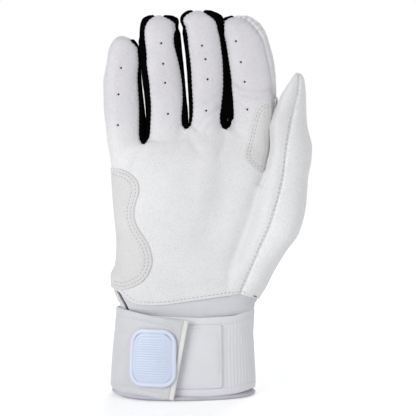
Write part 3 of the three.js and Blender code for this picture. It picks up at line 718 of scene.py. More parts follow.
# %% Folds seen from the palm side, as pixels of the photograph
# Each fold is its line, its depth and its half width in millimetres. A negative depth is a ridge.
PALM_FOLDS = [
    ([(238, 96), (233, 130), (228, 165), (223, 200), (212, 232)], 2.5, 11.0),
    ([(211, 128), (209, 165), (204, 200)], -0.7, 7.0),
    ([(262, 184), (252, 206), (243, 232), (236, 262)], 1.5, 5.5),
    ([(233.5, 88), (244, 93.5), (254, 95.5), (266, 94), (274, 91)], 0.95, 2.2),
    ([(270.4, 126), (270.5, 129)], 0.22, 0.9),
    ([(270.5, 131), (270.6, 134.5)], 0.5, 1.0),
    ([(270.6, 137.5), (270.7, 147), (268.9, 158), (264.8, 172), (259.6, 184)], 0.85, 1.15),
    ([(243, 13), (242, 20)], 0.4, 0.9),
    ([(249, 14.5), (246, 21)], 0.45, 0.9),
    ([(254.5, 18), (250.5, 24)], 0.5, 1.0),
    ([(259, 22.5), (254, 27.5)], 0.5, 1.0),
    ([(263.5, 28), (257.5, 31.5)], 0.45, 0.9),
    ([(236, 83), (250, 86), (268, 84)], -0.35, 3.0),
    ([(262, 58), (258, 70), (262, 82)], 0.6, 5.0),
    ([(236.5, 104), (241, 111), (248, 119)], 0.45, 1.8),
    ([(222, 108), (213, 114), (204, 121), (197, 128)], 0.55, 1.8),
    ([(217, 98), (209, 102), (202, 107)], 0.4, 1.6),
    ([(217, 118), (211, 124), (206, 133)], 0.45, 2.0),
    ([(151, 92), (161, 93.5), (172, 92)], 0.3, 1.1),
    ([(152, 96.5), (163, 98), (175, 96)], 0.25, 1.0),
    ([(193, 88), (204, 90), (216, 88)], 0.22, 1.1),
    ([(107, 98), (118, 100), (131, 98)], 0.24, 1.2),
    ([(106, 103), (118, 105.5), (133, 103)], 0.2, 1.0),
    ([(111, 62), (121, 64), (132, 62)], 0.2, 1.1),
    ([(152, 52), (163, 54), (174, 52)], 0.2, 1.1),
    ([(192, 50), (204, 52), (217, 50)], 0.2, 1.1),
    ([(228, 55), (241, 57.5), (256, 56)], 0.2, 1.1),
    ([(183, 133), (177, 142), (168, 151)], 0.35, 2.2),
    ([(188, 133), (192, 143), (199, 152)], 0.35, 2.4),
    ([(143, 149), (139, 158), (132, 166)], 0.35, 2.2),
    ([(226, 133), (224, 144), (219, 156)], 0.4, 2.4),
    ([(113, 150), (123, 154), (136, 153)], 0.3, 2.0),
    ([(150, 262), (178, 268), (214, 262), (244, 250)], 0.35, 5.0),
    ([(122, 276), (150, 287), (190, 290), (232, 281)], 0.4, 3.5),
    ([(115, 262), (117, 272), (123, 284)], 0.5, 2.5),
    ([(308, 150), (300, 158), (292, 163)], 0.35, 2.2),
    ([(309, 160), (301, 166), (290, 170)], 0.3, 2.0),
    ([(300, 108), (294, 111), (287, 112)], 0.25, 1.4),
    ([(296, 190), (288, 204), (278, 222), (268, 246)], 0.4, 6.0),
    ([(297, 226), (286, 240), (274, 258)], -0.35, 3.0),
]
# Folds on the back, as x and z in millimetres: knuckles, and the stretch between them.
BACK_FOLDS = [
    ([(-56, 168), (-52, 170), (-47, 168)], 0.35, 1.4),
    ([(-36, 175), (-26, 177.5), (-16, 175)], 0.35, 1.5),
    ([(-9, 177), (0, 179.5), (9, 177)], 0.35, 1.5),
    ([(16, 175), (27, 177.5), (38, 175)], 0.35, 1.5),
    ([(-62, 196), (-54, 198), (-45, 196)], 0.3, 1.2),
    ([(-61, 200.5), (-54, 202), (-46, 200.5)], 0.25, 1.1),
    ([(-38, 206), (-28, 208), (-18, 206)], 0.3, 1.2),
    ([(-37, 210.5), (-28, 212.5), (-19, 210.5)], 0.25, 1.1),
    ([(-11, 206), (-1, 208), (8, 206)], 0.3, 1.2),
    ([(-11, 211), (-1, 212.5), (8, 211)], 0.25, 1.1),
    ([(15, 205), (26, 207.5), (37, 205)], 0.3, 1.2),
    ([(14, 210), (26, 212), (36, 210)], 0.25, 1.1),
    ([(-40, 160), (-36, 148), (-34, 132)], 0.5, 4.0),
    ([(-13, 166), (-13, 150), (-14, 130)], 0.5, 4.5),
    ([(13, 166), (11, 150), (8, 128)], 0.5, 4.5),
    ([(-50, 74), (-20, 78), (10, 76), (30, 72)], 0.45, 4.0),
    ([(44, 148), (36, 132), (26, 116)], 0.8, 6.0),
]
# The narrow folds of the palm side are drawn on its surface, and are a little deeper than read.
PALM_DEPTH, FOLD_NARROW, FOLD_MORE = -12, 3, 1.3
FOLD_REACH = 3
BROAD_LUMP, BROAD_SIZE = 0.42, 23.0
SMALL_LUMP, SMALL_SIZE = 0.10, 6.5
# Above the palm the broad lumps fade, and cross wrinkles start.
CROSS_LUMP, CROSS_SIZE, CROSS_STRETCH = 0.11, 3.4, (4.0, 4.0, 1.0)
CROSS_FROM, CROSS_FULL = 150, 175
FACING_FROM, FACING_FULL = 0.05, 0.6
FAR_AWAY = 1e3


class FlatPoints:
    """Flat points sorted by height, so that each stretch of a line only meets those near it."""

    def __init__(self, flat):
        self.flat = flat
        self.order = np.argsort(flat[:, 1], kind="stable")
        self.heights = flat[self.order, 1]

    def between(self, low, high):
        """The indices of the points between two heights."""
        first, last = np.searchsorted(self.heights, [low, high])
        return self.order[first:last]

    def near(self, start, end, reach):
        """Indices of the points near a stretch, their distances, and on which side they lie."""
        found = self.between(min(start[1], end[1]) - reach, max(start[1], end[1]) + reach)
        x = self.flat[found, 0]
        found = found[(x > min(start[0], end[0]) - reach) & (x < max(start[0], end[0]) + reach)]
        along = end - start
        from_start = self.flat[found] - start
        part = np.clip((from_start @ along) / max(along @ along, 1e-9), 0, 1)
        gap = from_start - part[:, None] * along
        side = np.sign(gap[:, 1] * along[0] - gap[:, 0] * along[1])
        return found, np.hypot(gap[:, 0], gap[:, 1]), side


def polyline_distance(points, line, reach):
    """Distance from each of some flat points to an open line, exact up to reach."""
    best = np.full(len(points.flat), FAR_AWAY)
    for start, end in zip(line, line[1:]):
        found, far, _ = points.near(start, end, reach)
        best[found] = np.minimum(best[found], far)
    return best


def rounded(points, rounds=2, closed=False):
    """A line with its corners cut, which makes it a soft curve."""
    points = np.asarray(points, float)
    for _ in range(rounds):
        following = np.roll(points, -1, axis=0) if closed else points[1:]
        current = points if closed else points[:-1]
        first = 0.75 * current + 0.25 * following
        second = 0.25 * current + 0.75 * following
        cut = np.stack([first, second], axis=1).reshape(-1, 2)
        points = cut if closed else np.vstack([points[:1], cut, points[-1:]])
    return points


def groove(distance, deep, wide):
    """How deep a soft groove is at some distance from its line."""
    return deep * np.exp(-((distance / wide) ** 2))


def fold_depth(flat, folds):
    """How far the surface sinks at flat points, with a soft end to each fold."""
    points = FlatPoints(flat)
    depth = np.zeros(len(flat))
    for line, deep, wide in folds:
        depth += groove(polyline_distance(points, line, FOLD_REACH * wide), deep, wide)
    return depth


def mesh_normals(mesh):
    """The normals of a mesh's points."""
    found = np.empty(len(mesh.vertices) * 3, np.float32)
    mesh.vertex_normals.foreach_get("vector", found)
    return found.reshape(-1, 3).astype(float)


def lumps(co, size, stretch=(1, 1, 1)):
    """Slow noise at points, from about -1 to 1."""
    scaled = co / (np.array(stretch) * size)
    return np.array([noise.noise(Vector(place)) for place in scaled])


co = mesh_arrays(skin)[0]
normals = mesh_normals(skin)
flat = co[:, [0, 2]]
palm_lines = [
    (rounded(at_depth(line, PALM_DEPTH)), deep * (FOLD_MORE if wide < FOLD_NARROW else 1), wide)
    for line, deep, wide in PALM_FOLDS
]
back_lines = [(rounded(line), deep, wide) for line, deep, wide in BACK_FOLDS]
facing_palm, facing_back = (
    eased(facing, FACING_FROM, FACING_FULL) for facing in (-normals[:, 1], normals[:, 1])
)
sink = facing_palm * fold_depth(flat, palm_lines) + facing_back * fold_depth(flat, back_lines)
above_palm = eased(co[:, 2], CROSS_FROM, CROSS_FULL)
sink += BROAD_LUMP * lumps(co, BROAD_SIZE) * (1 - 0.5 * above_palm)
sink += SMALL_LUMP * lumps(co, SMALL_SIZE)
sink += CROSS_LUMP * above_palm * lumps(co, CROSS_SIZE, CROSS_STRETCH)
move_skin(co - sink[:, None] * normals)
print("deepest fold in mm:", sink.max().round(2))

# %% [markdown]
# ## The pattern pieces
# A glove is sewn from flat pieces: one palm piece with the fronts of the fingers, one back with
# their backs, and black knitted strips between the fingers. The palm piece's outline was read off
# the photograph, where the white leather ends and the black knit starts. Here the skin is cut
# along such outlines, so every seam is a true edge of the mesh and each piece its own object.

# %% The outline of the palm leather, as pixels of the photograph
PALM_PIECE = [
    (60, 340), (60, 20), (126, 20), (130.5, 39.5), (135, 43), (138.8, 47.5), (140.4, 54),
    (140.2, 62), (138.2, 77), (139.3, 92), (140, 106), (139.6, 130), (139.6, 137.5),
    (140.6, 141.5), (143, 143.8), (146, 142), (148.3, 137.5), (149.2, 131), (149.6, 122),
    (150.3, 112), (150.2, 102), (148.6, 81), (146, 67), (146.2, 53), (144.6, 42), (143.2, 32),
    (144.6, 25), (148.6, 18.4), (152.6, 15.2), (156.4, 13.2), (157.6, 4), (160.4, 4),
    (161.6, 14.2), (167.5, 16.6), (173, 20.2), (178.2, 26), (175, 32.2), (174.4, 40), (175.3, 47),
    (179.4, 61), (182.6, 76.5), (184.3, 96), (182.6, 112), (182.2, 121), (183, 126),
    (185.2, 128.8), (188, 127.5), (190.4, 123), (191.6, 115), (192.1, 107), (191, 89), (190, 67),
    (187.3, 48), (186.6, 36), (185.2, 29.5), (182.2, 23.4), (181.8, 18.6), (184.2, 14.6),
    (188, 11.8), (192, 10.2), (194.6, 8), (195.4, 0), (201.4, 0), (202.4, 9.6), (208.8, 14.2),
    (214.6, 19), (217.4, 24.4), (218.2, 30), (220.2, 36), (223, 43), (225.5, 54), (226, 66),
    (225.6, 73.5), (224.6, 84), (223.8, 97), (221.8, 109), (220.7, 117), (221.8, 125),
    (225.4, 129), (229.6, 126), (232.4, 120), (233, 114), (232.3, 102), (231.2, 91), (230.2, 76.5),
    (227.6, 61), (224.8, 43), (222.8, 34), (221, 26.6), (221.8, 22.4), (226.4, 17.8),
    (231.2, 15.2), (241, 15.6), (247.5, 18.6), (254.5, 26), (259.5, 32.5), (263.4, 39), (267, 52),
    (270.4, 67), (272.8, 81), (274.2, 95.5), (275.5, 110), (275.5, 150), (276, 340),
]
THUMB_SEAM = [
    (301.5, 40), (300.6, 75), (300, 90), (296, 105), (291.4, 125), (286.5, 150), (284.7, 172),
    (279, 197), (276, 206), (269.7, 226), (261.8, 243), (253.8, 262), (244.2, 285), (238, 300),
]
PALM_HEM = [
    (60, 290), (112, 290), (118, 292.5), (122.7, 296), (130, 302), (138.5, 305), (163, 305),
    (187, 301), (211, 297.6), (235.4, 294.5), (241, 294), (247.5, 296), (257.8, 300.3), (262, 304),
    (330, 304),
]
# The knitted strips lie between these, so the outer sides of little and index finger are leather.
KNIT_FROM_X, KNIT_TO_X = -47.5, 15.5
HEEL_PATCH = [
    (60, 167.5), (112.7, 167.5), (127.8, 171), (138.2, 181), (139.8, 192), (135.8, 203),
    (133.4, 216), (138.2, 229), (148.6, 242), (153.3, 258), (151.7, 270), (143.5, 282),
    (132.4, 288), (122.7, 291.5), (112, 289.5), (60, 289.5),
]
CROTCH_PATCH = [
    (292, 100.5), (277, 100.5), (262.5, 102.6), (256.5, 107.5), (251.8, 121.5), (248.2, 139),
    (244, 155), (244.8, 159.5), (254, 169), (260, 172.5), (265.5, 170), (269, 160), (271.5, 148),
    (273, 138), (292, 130),
]
HEEL_ROWS = (2.3, 4.6)
CROTCH_ROWS = (1.5, 3.1)
# The slit that lets the wrist open, between the palm's hem and the band.
WRIST_SLIT = [(113.5, 284), (116.5, 291), (121, 299), (125.5, 306.5), (130, 316)]
WRIST_SLIT_HALF = 0.9
BACK_HEM_Z = 57.6
SIDE_SEAM_Y = 2.0
THUMB_SIDE_SEAM_Y = -4.0
FINGER_PIECE_DEPTH, THUMB_PIECE_DEPTH = -7, -17
# Below THUMB_PARTS_Z the thumb isn't parted from the hand.
THUMB_PARTS_Z = 128

# Heights at which the pieces are split so that they can follow the joints.
LITTLE_BASE, LITTLE_MIDDLE = 163.6, 182.0
FINGER_BASE, FINGER_MIDDLE = 171.2, 191.5
THUMB_BASE, THUMB_MIDDLE = 136.4, 156.0

# %% Fields: how far points lie from a line, with a sign
NEAR_LINE = 5.0


def within(outline, flat):
    """Distance in from a closed outline, positive inside and exact near the line."""
    points = FlatPoints(flat)
    best = np.full(len(flat), FAR_AWAY)
    inside = np.zeros(len(flat), bool)
    for start, end in zip(outline, np.roll(outline, -1, axis=0)):
        found, far, _ = points.near(start, end, NEAR_LINE)
        best[found] = np.minimum(best[found], far)
        low, high = sorted((start, end), key=lambda place: place[1])
        level = points.between(low[1], high[1])
        if len(level):
            x = low[0] + (flat[level, 1] - low[1]) / (high[1] - low[1]) * (high[0] - low[0])
            inside[level] ^= flat[level, 0] < x
    return np.where(inside, best, -best)


def side_of_line(line, flat):
    """Distance from an open line, positive on the left of someone who walks along it."""
    points = FlatPoints(flat)
    best = np.full(len(flat), FAR_AWAY)
    sign = np.zeros(len(flat))
    for start, end in zip(line, line[1:]):
        found, far, side = points.near(start, end, NEAR_LINE)
        nearer = far < best[found]
        sign[found] = np.where(nearer, side, sign[found])
        best[found] = np.where(nearer, far, best[found])
    unknown = sign == 0
    if unknown.any():
        sign[unknown] = far_side(line, flat[unknown])
    return best * sign


def far_side(line, flat):
    """The side of an open line on which points far from it lie."""
    middles = (line[1:] + line[:-1]) / 2
    steps = line[1:] - line[:-1]
    away = flat[:, None, :] - middles[None, ::4, :]
    nearest = np.argmin((away**2).sum(axis=2), axis=1)
    gap = away[np.arange(len(flat)), nearest]
    step = steps[::4][nearest]
    return np.where(gap[:, 1] * step[:, 0] - gap[:, 0] * step[:, 1] > 0, 1.0, -1.0)


def depth_in(outline):
    """The field of a closed outline drawn in the plane of x and z."""
    return lambda co: within(outline, co[:, [0, 2]])


def left_of(line):
    """The field of an open line drawn in that plane."""
    return lambda co: side_of_line(line, co[:, [0, 2]])


def on_thumb(co):
    """True for points of the thumb above its base."""
    return (co[:, 0] > thumb_line(co[:, 1])) & (co[:, 2] > THUMB_PARTS_Z)


def gap_lines(z):
    """The x of the middle of each gap at height z."""
    return [gap_line(pair, z) for pair in GAPS]


def side_split(co):
    """Distance behind the seams that part the palm side from the back."""
    hand_y = SIDE_SEAM_Y * (1 - eased(co[:, 2], 150, 168))
    thumb_y = SIDE_SEAM_Y + (THUMB_SIDE_SEAM_Y - SIDE_SEAM_Y) * eased(co[:, 2], 118, 140)
    left_of_thumb = co[:, 0] < 54
    return co[:, 1] - np.where(on_thumb(co) & left_of_thumb, thumb_y, hand_y)


in_palm_piece = depth_in(rounded(at_depth(PALM_PIECE, FINGER_PIECE_DEPTH), closed=True))
left_of_seam = left_of(rounded(at_depth(THUMB_SEAM, THUMB_PIECE_DEPTH)))
above_hem_line = left_of(rounded(at_depth(PALM_HEM, THUMB_PIECE_DEPTH)))
in_heel = depth_in(rounded(at_depth(HEEL_PATCH, THUMB_PIECE_DEPTH), closed=True))
in_crotch = depth_in(rounded(at_depth(CROTCH_PATCH, FINGER_PIECE_DEPTH), closed=True))

# %% Cut a mesh along the zero line of a field
# An edge that is cut within this share of an end has that end moved onto the line instead.
SNAP = 0.22
ON_LINE = 1e-6


def bmesh_arrays(bm):
    """Points in millimetres and the edges of a bmesh, in its own order."""
    scratch = bpy.data.meshes.new("scratch")
    bm.to_mesh(scratch)
    arrays = mesh_arrays(scratch)
    bpy.data.meshes.remove(scratch)
    return arrays


def points_of(bm):
    """The points of a bmesh in millimetres."""
    return bmesh_arrays(bm)[0]


def marked(bm, mask):
    """The points of a bmesh for which a mask holds."""
    return {vert for vert, here in zip(bm.verts, mask) if here}


def cut_along(bm, field, where):
    """Cuts a mesh along the line on which field is zero. Points close to the line move onto it."""
    verts = bm.verts[:]
    edges = bm.edges[:]
    co, ends = bmesh_arrays(bm)
    value = field(co)
    chosen = where(co, value)
    a, b = ends[:, 0], ends[:, 1]
    # Dicts keep the order in which points and faces are found, so that every run cuts alike.
    on_line = dict.fromkeys(verts[i] for i in np.nonzero(chosen & (np.abs(value) < ON_LINE))[0])
    crossing = np.nonzero(chosen[a] & chosen[b] & (value[a] * value[b] < 0))[0]
    for i in crossing:
        va, vb = value[a[i]], value[b[i]]
        if va * vb >= 0:
            continue
        part = va / (va - vb)
        if not SNAP <= part <= 1 - SNAP:
            near, far = (a[i], b[i]) if part < 0.5 else (b[i], a[i])
            verts[near].co = verts[near].co.lerp(verts[far].co, min(part, 1 - part))
            value[near] = 0.0
            on_line[verts[near]] = True
    for i in crossing:
        va, vb = value[a[i]], value[b[i]]
        if va * vb < 0:
            on_line[bmesh.utils.edge_split(edges[i], verts[a[i]], va / (va - vb))[1]] = True
    faces = dict.fromkeys(face for vert in on_line for face in vert.link_faces)
    for face in faces:
        marked = [k for k, vert in enumerate(face.verts) if vert in on_line]
        for first in marked:
            count = len(face.verts)
            beyond = [k for k in marked if 1 < (k - first) % count < count - 1]
            if beyond:
                bmesh.utils.face_split(face, face.verts[first], face.verts[beyond[0]])
                break


# %% Cut the skin along the edges of the pattern pieces
bm = bmesh.new()
bm.from_mesh(skin)
whole_hand = BVHTree.FromBMesh(bm)
EDGE = 0.02
cut_along(bm, side_split, lambda co, value: co[:, 2] > 50)


def palm_side(co):
    return side_split(co) < EDGE


def beside_knit(co):
    """True where the back leather has a knitted strip, or a neighbour's, beside it."""
    return (co[:, 0] < KNIT_TO_X) & (co[:, 0] > KNIT_FROM_X)


# On the side of a finger the knit reaches at least this far forward and back.
STRIP_FRONT, STRIP_BACK, STRIP_SIDE = -4.2, 5.6, 2.2
STRIP_FROM = {("little", "ring"): 172.0, ("ring", "middle"): 180.0, ("middle", "index"): 180.0}
# How far to the left and the right of a gap the skin is knitted at any depth, where a finger's
# leather in front of its neighbour would be cut out on the neighbour as well.
GAP_KNIT = {
    ("little", "ring"): (0.1, 2.0), ("ring", "middle"): (0.3, 0.3), ("middle", "index"): (2.0, 0.1),
}


def knit_field(co):
    """Distance into the knitted strips, negative on the leather."""
    x, y, z = co.T
    strip = -in_palm_piece(co)
    for pair, low in STRIP_FROM.items():
        from_line = x - gap_line(pair, z)
        beside = STRIP_SIDE - (np.abs(from_line) - gap_half(pair, z))
        deep = np.minimum(y - STRIP_FRONT, STRIP_BACK - y)
        at_gap = np.minimum(from_line + GAP_KNIT[pair][0], GAP_KNIT[pair][1] - from_line)
        knitted = np.maximum(np.minimum(beside, deep), at_gap)
        strip = np.maximum(strip, np.minimum(knitted, z - low))
    return strip


KNIT_CUT_Z, HEM_CUT_Z, BACK_HEM_CUT_Z = 138, 90, 70
SEAM_FROM_X, SEAM_CUT_Y, SEAM_CUT_REACH = 10, -2, 6
cut_along(bm, knit_field, lambda co, value: (
    (palm_side(co) | beside_knit(co)) & ~on_thumb(co) & (co[:, 2] > KNIT_CUT_Z)
))
cut_along(bm, left_of_seam, lambda co, value: (
    (co[:, 1] < SEAM_CUT_Y) & (np.abs(value) < SEAM_CUT_REACH) & (co[:, 0] > SEAM_FROM_X)
))
cut_along(bm, above_hem_line, lambda co, value: palm_side(co) & (co[:, 2] < HEM_CUT_Z))
cut_along(bm, lambda co: co[:, 2] - BACK_HEM_Z,
          lambda co, value: ~palm_side(co) & (co[:, 2] < BACK_HEM_CUT_Z))


FINGERS = ["little", "ring", "middle", "index"]


def finger_region(co, name):
    """True where points belong to a finger's tube or to what is under it."""
    edges = [-FAR_AWAY, *gap_lines(co[:, 2]), FAR_AWAY]
    k = FINGERS.index(name)
    return (co[:, 0] > edges[k]) & (co[:, 0] < edges[k + 1]) & ~on_thumb(co)


def can_hold_patch(co):
    """True on the palm side of the hand and the fingers, where patches are sewn on."""
    return palm_side(co) & ~on_thumb(co)


PATCH_FROM_THUMB = 0.4


def in_patch(in_outline, co):
    """Distance into a patch, which ends a little before the parting of the thumb."""
    from_thumb = thumb_line(co[:, 1]) - co[:, 0] - PATCH_FROM_THUMB
    return np.minimum(in_outline(co), np.where(co[:, 2] > THUMB_PARTS_Z, from_thumb, FAR_AWAY))


for in_outline in (in_heel, in_crotch):
    cut_along(bm, lambda co: in_patch(in_outline, co), lambda co, value: can_hold_patch(co))


def over_split(little, finger, thumb):
    """Heights over the splits of the little finger, the other fingers and the thumb."""
    def field(co):
        split = np.where(finger_region(co, "little"), little, finger)
        return co[:, 2] - np.where(on_thumb(co), thumb, split)
    return field


SPLIT_REACH = 3
for splits in (
    (LITTLE_BASE, FINGER_BASE, THUMB_BASE), (LITTLE_MIDDLE, FINGER_MIDDLE, THUMB_MIDDLE),
):
    cut_along(bm, over_split(*splits), lambda co, value: np.abs(value) < SPLIT_REACH)
print("skin cut:", len(bm.faces), "faces")


# %% Sort the faces into pattern pieces
FRONT, BACK, KNIT, SIDE, CUT_OFF = range(5)
PANEL_NAMES = ["front", "back", "side_knit", "side"]
WEB_FLOOR = 140.0
BASES = dict.fromkeys(FINGERS, FINGER_BASE) | {"little": LITTLE_BASE}
MIDDLES = dict.fromkeys(FINGERS, FINGER_MIDDLE) | {"little": LITTLE_MIDDLE}
GROUPS = ["hand"] + [f"{n}_{part}" for n in [*FINGERS, "thumb"] for part in ("lower", "upper")]


def sorted_faces(centres):
    """The panel and the group of each face, from its centre in millimetres."""
    z = centres[:, 2]
    palm = side_split(centres) < 0
    thumb = on_thumb(centres)
    in_outline = (knit_field(centres) < 0) | (z < WEB_FLOOR)
    in_side_panel = (left_of_seam(centres) > 0) & (centres[:, 0] > SEAM_FROM_X)
    panel = np.where(palm, FRONT, BACK)
    outside = ~in_outline & ~thumb
    panel = np.where(outside, np.where(beside_knit(centres), KNIT, BACK), panel)
    low_thumb = thumb | (z < WEB_FLOOR)
    panel = np.where(palm & in_side_panel & low_thumb, SIDE, panel)
    above_hem = np.where(palm, above_hem_line(centres) > 0, z > BACK_HEM_Z)
    panel = np.where((z < HEM_CUT_Z) & ~above_hem, CUT_OFF, panel)
    group = np.zeros(len(centres), int)
    for name in FINGERS:
        here = finger_region(centres, name)
        for part, split in (("lower", BASES[name]), ("upper", MIDDLES[name])):
            group = np.where(here & (z > split), GROUPS.index(f"{name}_{part}"), group)
    group = np.where(thumb & (z > THUMB_BASE), GROUPS.index("thumb_lower"), group)
    group = np.where(thumb & (z > THUMB_MIDDLE), GROUPS.index("thumb_upper"), group)
    return panel, group


scratch = bpy.data.meshes.new("scratch")
bm.to_mesh(scratch)
centres = np.empty(len(bm.faces) * 3, np.float32)
scratch.polygons.foreach_get("center", centres)
centres = centres.reshape(-1, 3).astype(float) / MM
bpy.data.meshes.remove(scratch)
panel_of, group_of = sorted_faces(centres)
panel_layer = bm.faces.layers.int.new("panel")
group_layer = bm.faces.layers.int.new("group")
for face, panel, group in zip(bm.faces, panel_of, group_of):
    face[panel_layer] = int(panel)
    face[group_layer] = int(group)
cut_off = [face for face in bm.faces if face[panel_layer] == CUT_OFF]
bmesh.ops.delete(bm, geom=cut_off, context="FACES")
print("faces by panel:", {name: int((panel_of == i).sum()) for i, name in enumerate(PANEL_NAMES)})


# %% Finer faces beside the seams
def seam_edges(bm):
    """The edges on which two different panels meet."""
    return [edge for edge in bm.edges if len({face[panel_layer] for face in edge.link_faces}) == 2]


def tree_of(places):
    """A tree that finds the nearest of some places."""
    tree = KDTree(len(places))
    for i, place in enumerate(places):
        tree.insert(place, i)
    tree.balance()
    return tree


FINE_REACH = 1.5 * MM
PATCH_REACH = 6.0


def patch_depths(co):
    """How far inside the heel patch and the crotch patch each point lies, negative outside."""
    holds = can_hold_patch(co)
    return [np.where(holds, in_patch(field, co), -FAR_AWAY) for field in (in_heel, in_crotch)]


def divide(bm, chosen, cuts=1):
    """Divides the edges between chosen points, and splits what gets more than four corners."""
    fine = [edge for edge in bm.edges if edge.verts[0] in chosen and edge.verts[1] in chosen]
    bmesh.ops.subdivide_edges(bm, edges=fine, cuts=cuts, use_grid_fill=True)
    bmesh.ops.triangulate(bm, faces=[face for face in bm.faces if len(face.verts) > 4])


along_seams = []
for edge in seam_edges(bm):
    start, end = (vert.co.copy() for vert in edge.verts)
    along_seams += [start, (start + end) / 2, end]
tree = tree_of(along_seams)
depths = patch_depths(points_of(bm))
beside_patch = np.any([(depth > -1) & (depth < PATCH_REACH) for depth in depths], axis=0)
divide(bm, {
    vert for vert, close in zip(bm.verts, beside_patch)
    if close or tree.find(vert.co)[2] < FINE_REACH
})
print("faces after refining:", len(bm.faces))


# %% Punch the air holes in the fronts of the fingers
# Each finger's holes, as pixels of the photograph.
AIR_HOLES = {
    "little": [(121.1, 67.9), (118.4, 94.4), (117.9, 125.2)],
    "ring": [(161.2, 43.1), (163.2, 63.7), (165.2, 82.8), (168, 113.8)],
    "middle": [(202, 45.5), (205.6, 59.1), (207.7, 79.3), (206.2, 110.7)],
    "index": [(235.8, 41.1), (240.9, 62), (244.7, 81.9), (247.1, 109.5)],
}
HOLE_RADIUS = 0.66
HOLE_DIVIDED = (2.2, 1.5)
TOUCH = 0.01

skin_tree = BVHTree.FromBMesh(bm)
holes = []
for name, pixels in AIR_HOLES.items():
    for pixel in pixels:
        place, normal, _, _ = skin_tree.ray_cast(camera_place, pixel_ray(*pixel))
        holes.append((name, np.array(place) / MM, np.array(normal)))


def hole_distance(co):
    """Distance of points from the nearest air hole's middle, in millimetres."""
    return np.min([np.linalg.norm(co - place, axis=1) for _, place, _ in holes], axis=0)


for reach in HOLE_DIVIDED:
    divide(bm, marked(bm, hole_distance(points_of(bm)) < reach))
cut_along(bm, lambda co: hole_distance(co) - HOLE_RADIUS, lambda co, value: np.abs(value) < 1)
inside = marked(bm, hole_distance(points_of(bm)) < HOLE_RADIUS + TOUCH)
plugs = [face for face in bm.faces if all(vert in inside for vert in face.verts)]
bmesh.ops.delete(bm, geom=plugs, context="FACES")
print("air holes:", len(holes), "faces punched out:", len(plugs))

# %% [markdown]
# ## Seams
# The pieces are sewn face to face and turned, so each seam is a small valley between two rolled
# edges, and the thread gathers the leather into tiny puckers. The depth of the valley falls off
# with distance from the seam line, and the puckers follow the length along it.

# %% Sink the seams and gather them
SEAM_DEEP, SEAM_WIDE = 0.62, 0.75
SEAM_SOFT_DEEP, SEAM_SOFT_WIDE = 0.42, 3.2
PUCKER_DEEP, PUCKER_WIDE, PUCKER_PITCH = 0.18, 1.8, 2.7
SEAM_REACH = 10
RIM_DEEP, RIM_WIDE, RIM_REACH = 0.35, 0.45, 2.0


def seam_lengths(edges):
    """For each point of the seams, how far along its seam it lies, in metres."""
    links = {}
    for edge in edges:
        for vert in edge.verts:
            links.setdefault(vert, []).append(edge)
    along = {}
    ends = [vert for vert, joined in links.items() if len(joined) != 2]
    for start in ends + list(links):
        if start in along and len(links[start]) == 2:
            continue
        along.setdefault(start, 0.0)
        for edge in links[start]:
            vert, travelled, path = start, 0.0, edge
            while path:
                travelled += path.calc_length()
                vert = path.other_vert(vert)
                if vert in along:
                    break
                along[vert] = travelled
                onward = [other for other in links[vert] if other is not path]
                path = onward[0] if len(onward) == 1 else None
    return along


def fall(gap, wide):
    """How much of a depth is left at some gap from a line."""
    return math.exp(-((gap / wide) ** 2))


seams = seam_edges(bm)
along = seam_lengths(seams)
seam_verts = list(along)
tree = tree_of([vert.co for vert in seam_verts])
bm.normal_update()
moves = []
leather_verts = {vert for face in bm.faces if face[panel_layer] != KNIT for vert in face.verts}
for vert in bm.verts:
    _, i, gap = tree.find(vert.co)
    gap /= MM
    if gap > SEAM_REACH:
        continue
    turn = along[seam_verts[i]] / MM / PUCKER_PITCH * 2 * math.pi
    deep = SEAM_DEEP * fall(gap, SEAM_WIDE)
    if vert in leather_verts:
        deep += SEAM_SOFT_DEEP * fall(gap, SEAM_SOFT_WIDE)
    deep += PUCKER_DEEP * fall(gap, PUCKER_WIDE) * math.cos(turn)
    moves.append((vert, vert.co - vert.normal * deep * MM))
for vert, place in moves:
    vert.co = place
bm.normal_update()

for vert, gap in zip(bm.verts, hole_distance(points_of(bm))):
    if gap < RIM_REACH:
        vert.co -= vert.normal * RIM_DEEP * fall(gap - HOLE_RADIUS, RIM_WIDE) * MM
bm.normal_update()
hand_tree = BVHTree.FromBMesh(bm)
print("seam length in mm:", round(sum(edge.calc_length() for edge in seams) / MM))

# %% [markdown]
# ## Leather with thickness
# Each pattern piece becomes an object of its own. Its faces are copied out of the skin and get a
# wall of leather inwards, so that edges, hems and holes show a real cut edge. The pieces of the
# fingers are split half way along each bone. There one joint has done all its turning and the next
# has not begun, so the two halves stay together in every pose.

# %% Copy pieces out of the skin
LEATHER_WALL = 1.1 * MM
KNIT_WALL = 0.8 * MM


def copied_faces(chosen):
    """A new bmesh with only the chosen faces of another."""
    made = bmesh.new()
    fresh = {}
    for face in chosen:
        corners = []
        for vert in face.verts:
            if vert not in fresh:
                fresh[vert] = made.verts.new(vert.co, vert)
            corners.append(fresh[vert])
        made.faces.new(corners)
    made.normal_update()
    return made


def shell_object(name, made, wall, material):
    """A piece of leather or cloth: faces with a wall inwards, smooth but for its cut edges."""
    for face in made.faces:
        face.smooth = True
    for edge in made.edges:
        edge.smooth = len(edge.link_faces) == 2
    piece = mesh_object(name, made, material)
    thick = piece.modifiers.new("wall", "SOLIDIFY")
    thick.thickness = wall
    thick.offset = -1.0
    thick.use_even_offset = False
    thick.use_quality_normals = True
    return piece


# Between which heights each half of a finger bends from the body before it to its own.
BENDS = {
    "little": {"lower": (163.6, 174.5), "upper": (189.0, 204.5)},
    **dict.fromkeys(FINGERS[1:], {"lower": (171.2, 182.5), "upper": (200.0, 215.5)}),
    "thumb": {"lower": (136.4, 149.0), "upper": (162.5, 176.5)},
}


def follow(piece, group):
    """A piece is attached to the hand's body if its group is the hand, or else has its placing
    baked into its mesh.
    """
    if group == "hand":
        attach(piece, "hand")
    else:
        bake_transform(piece)


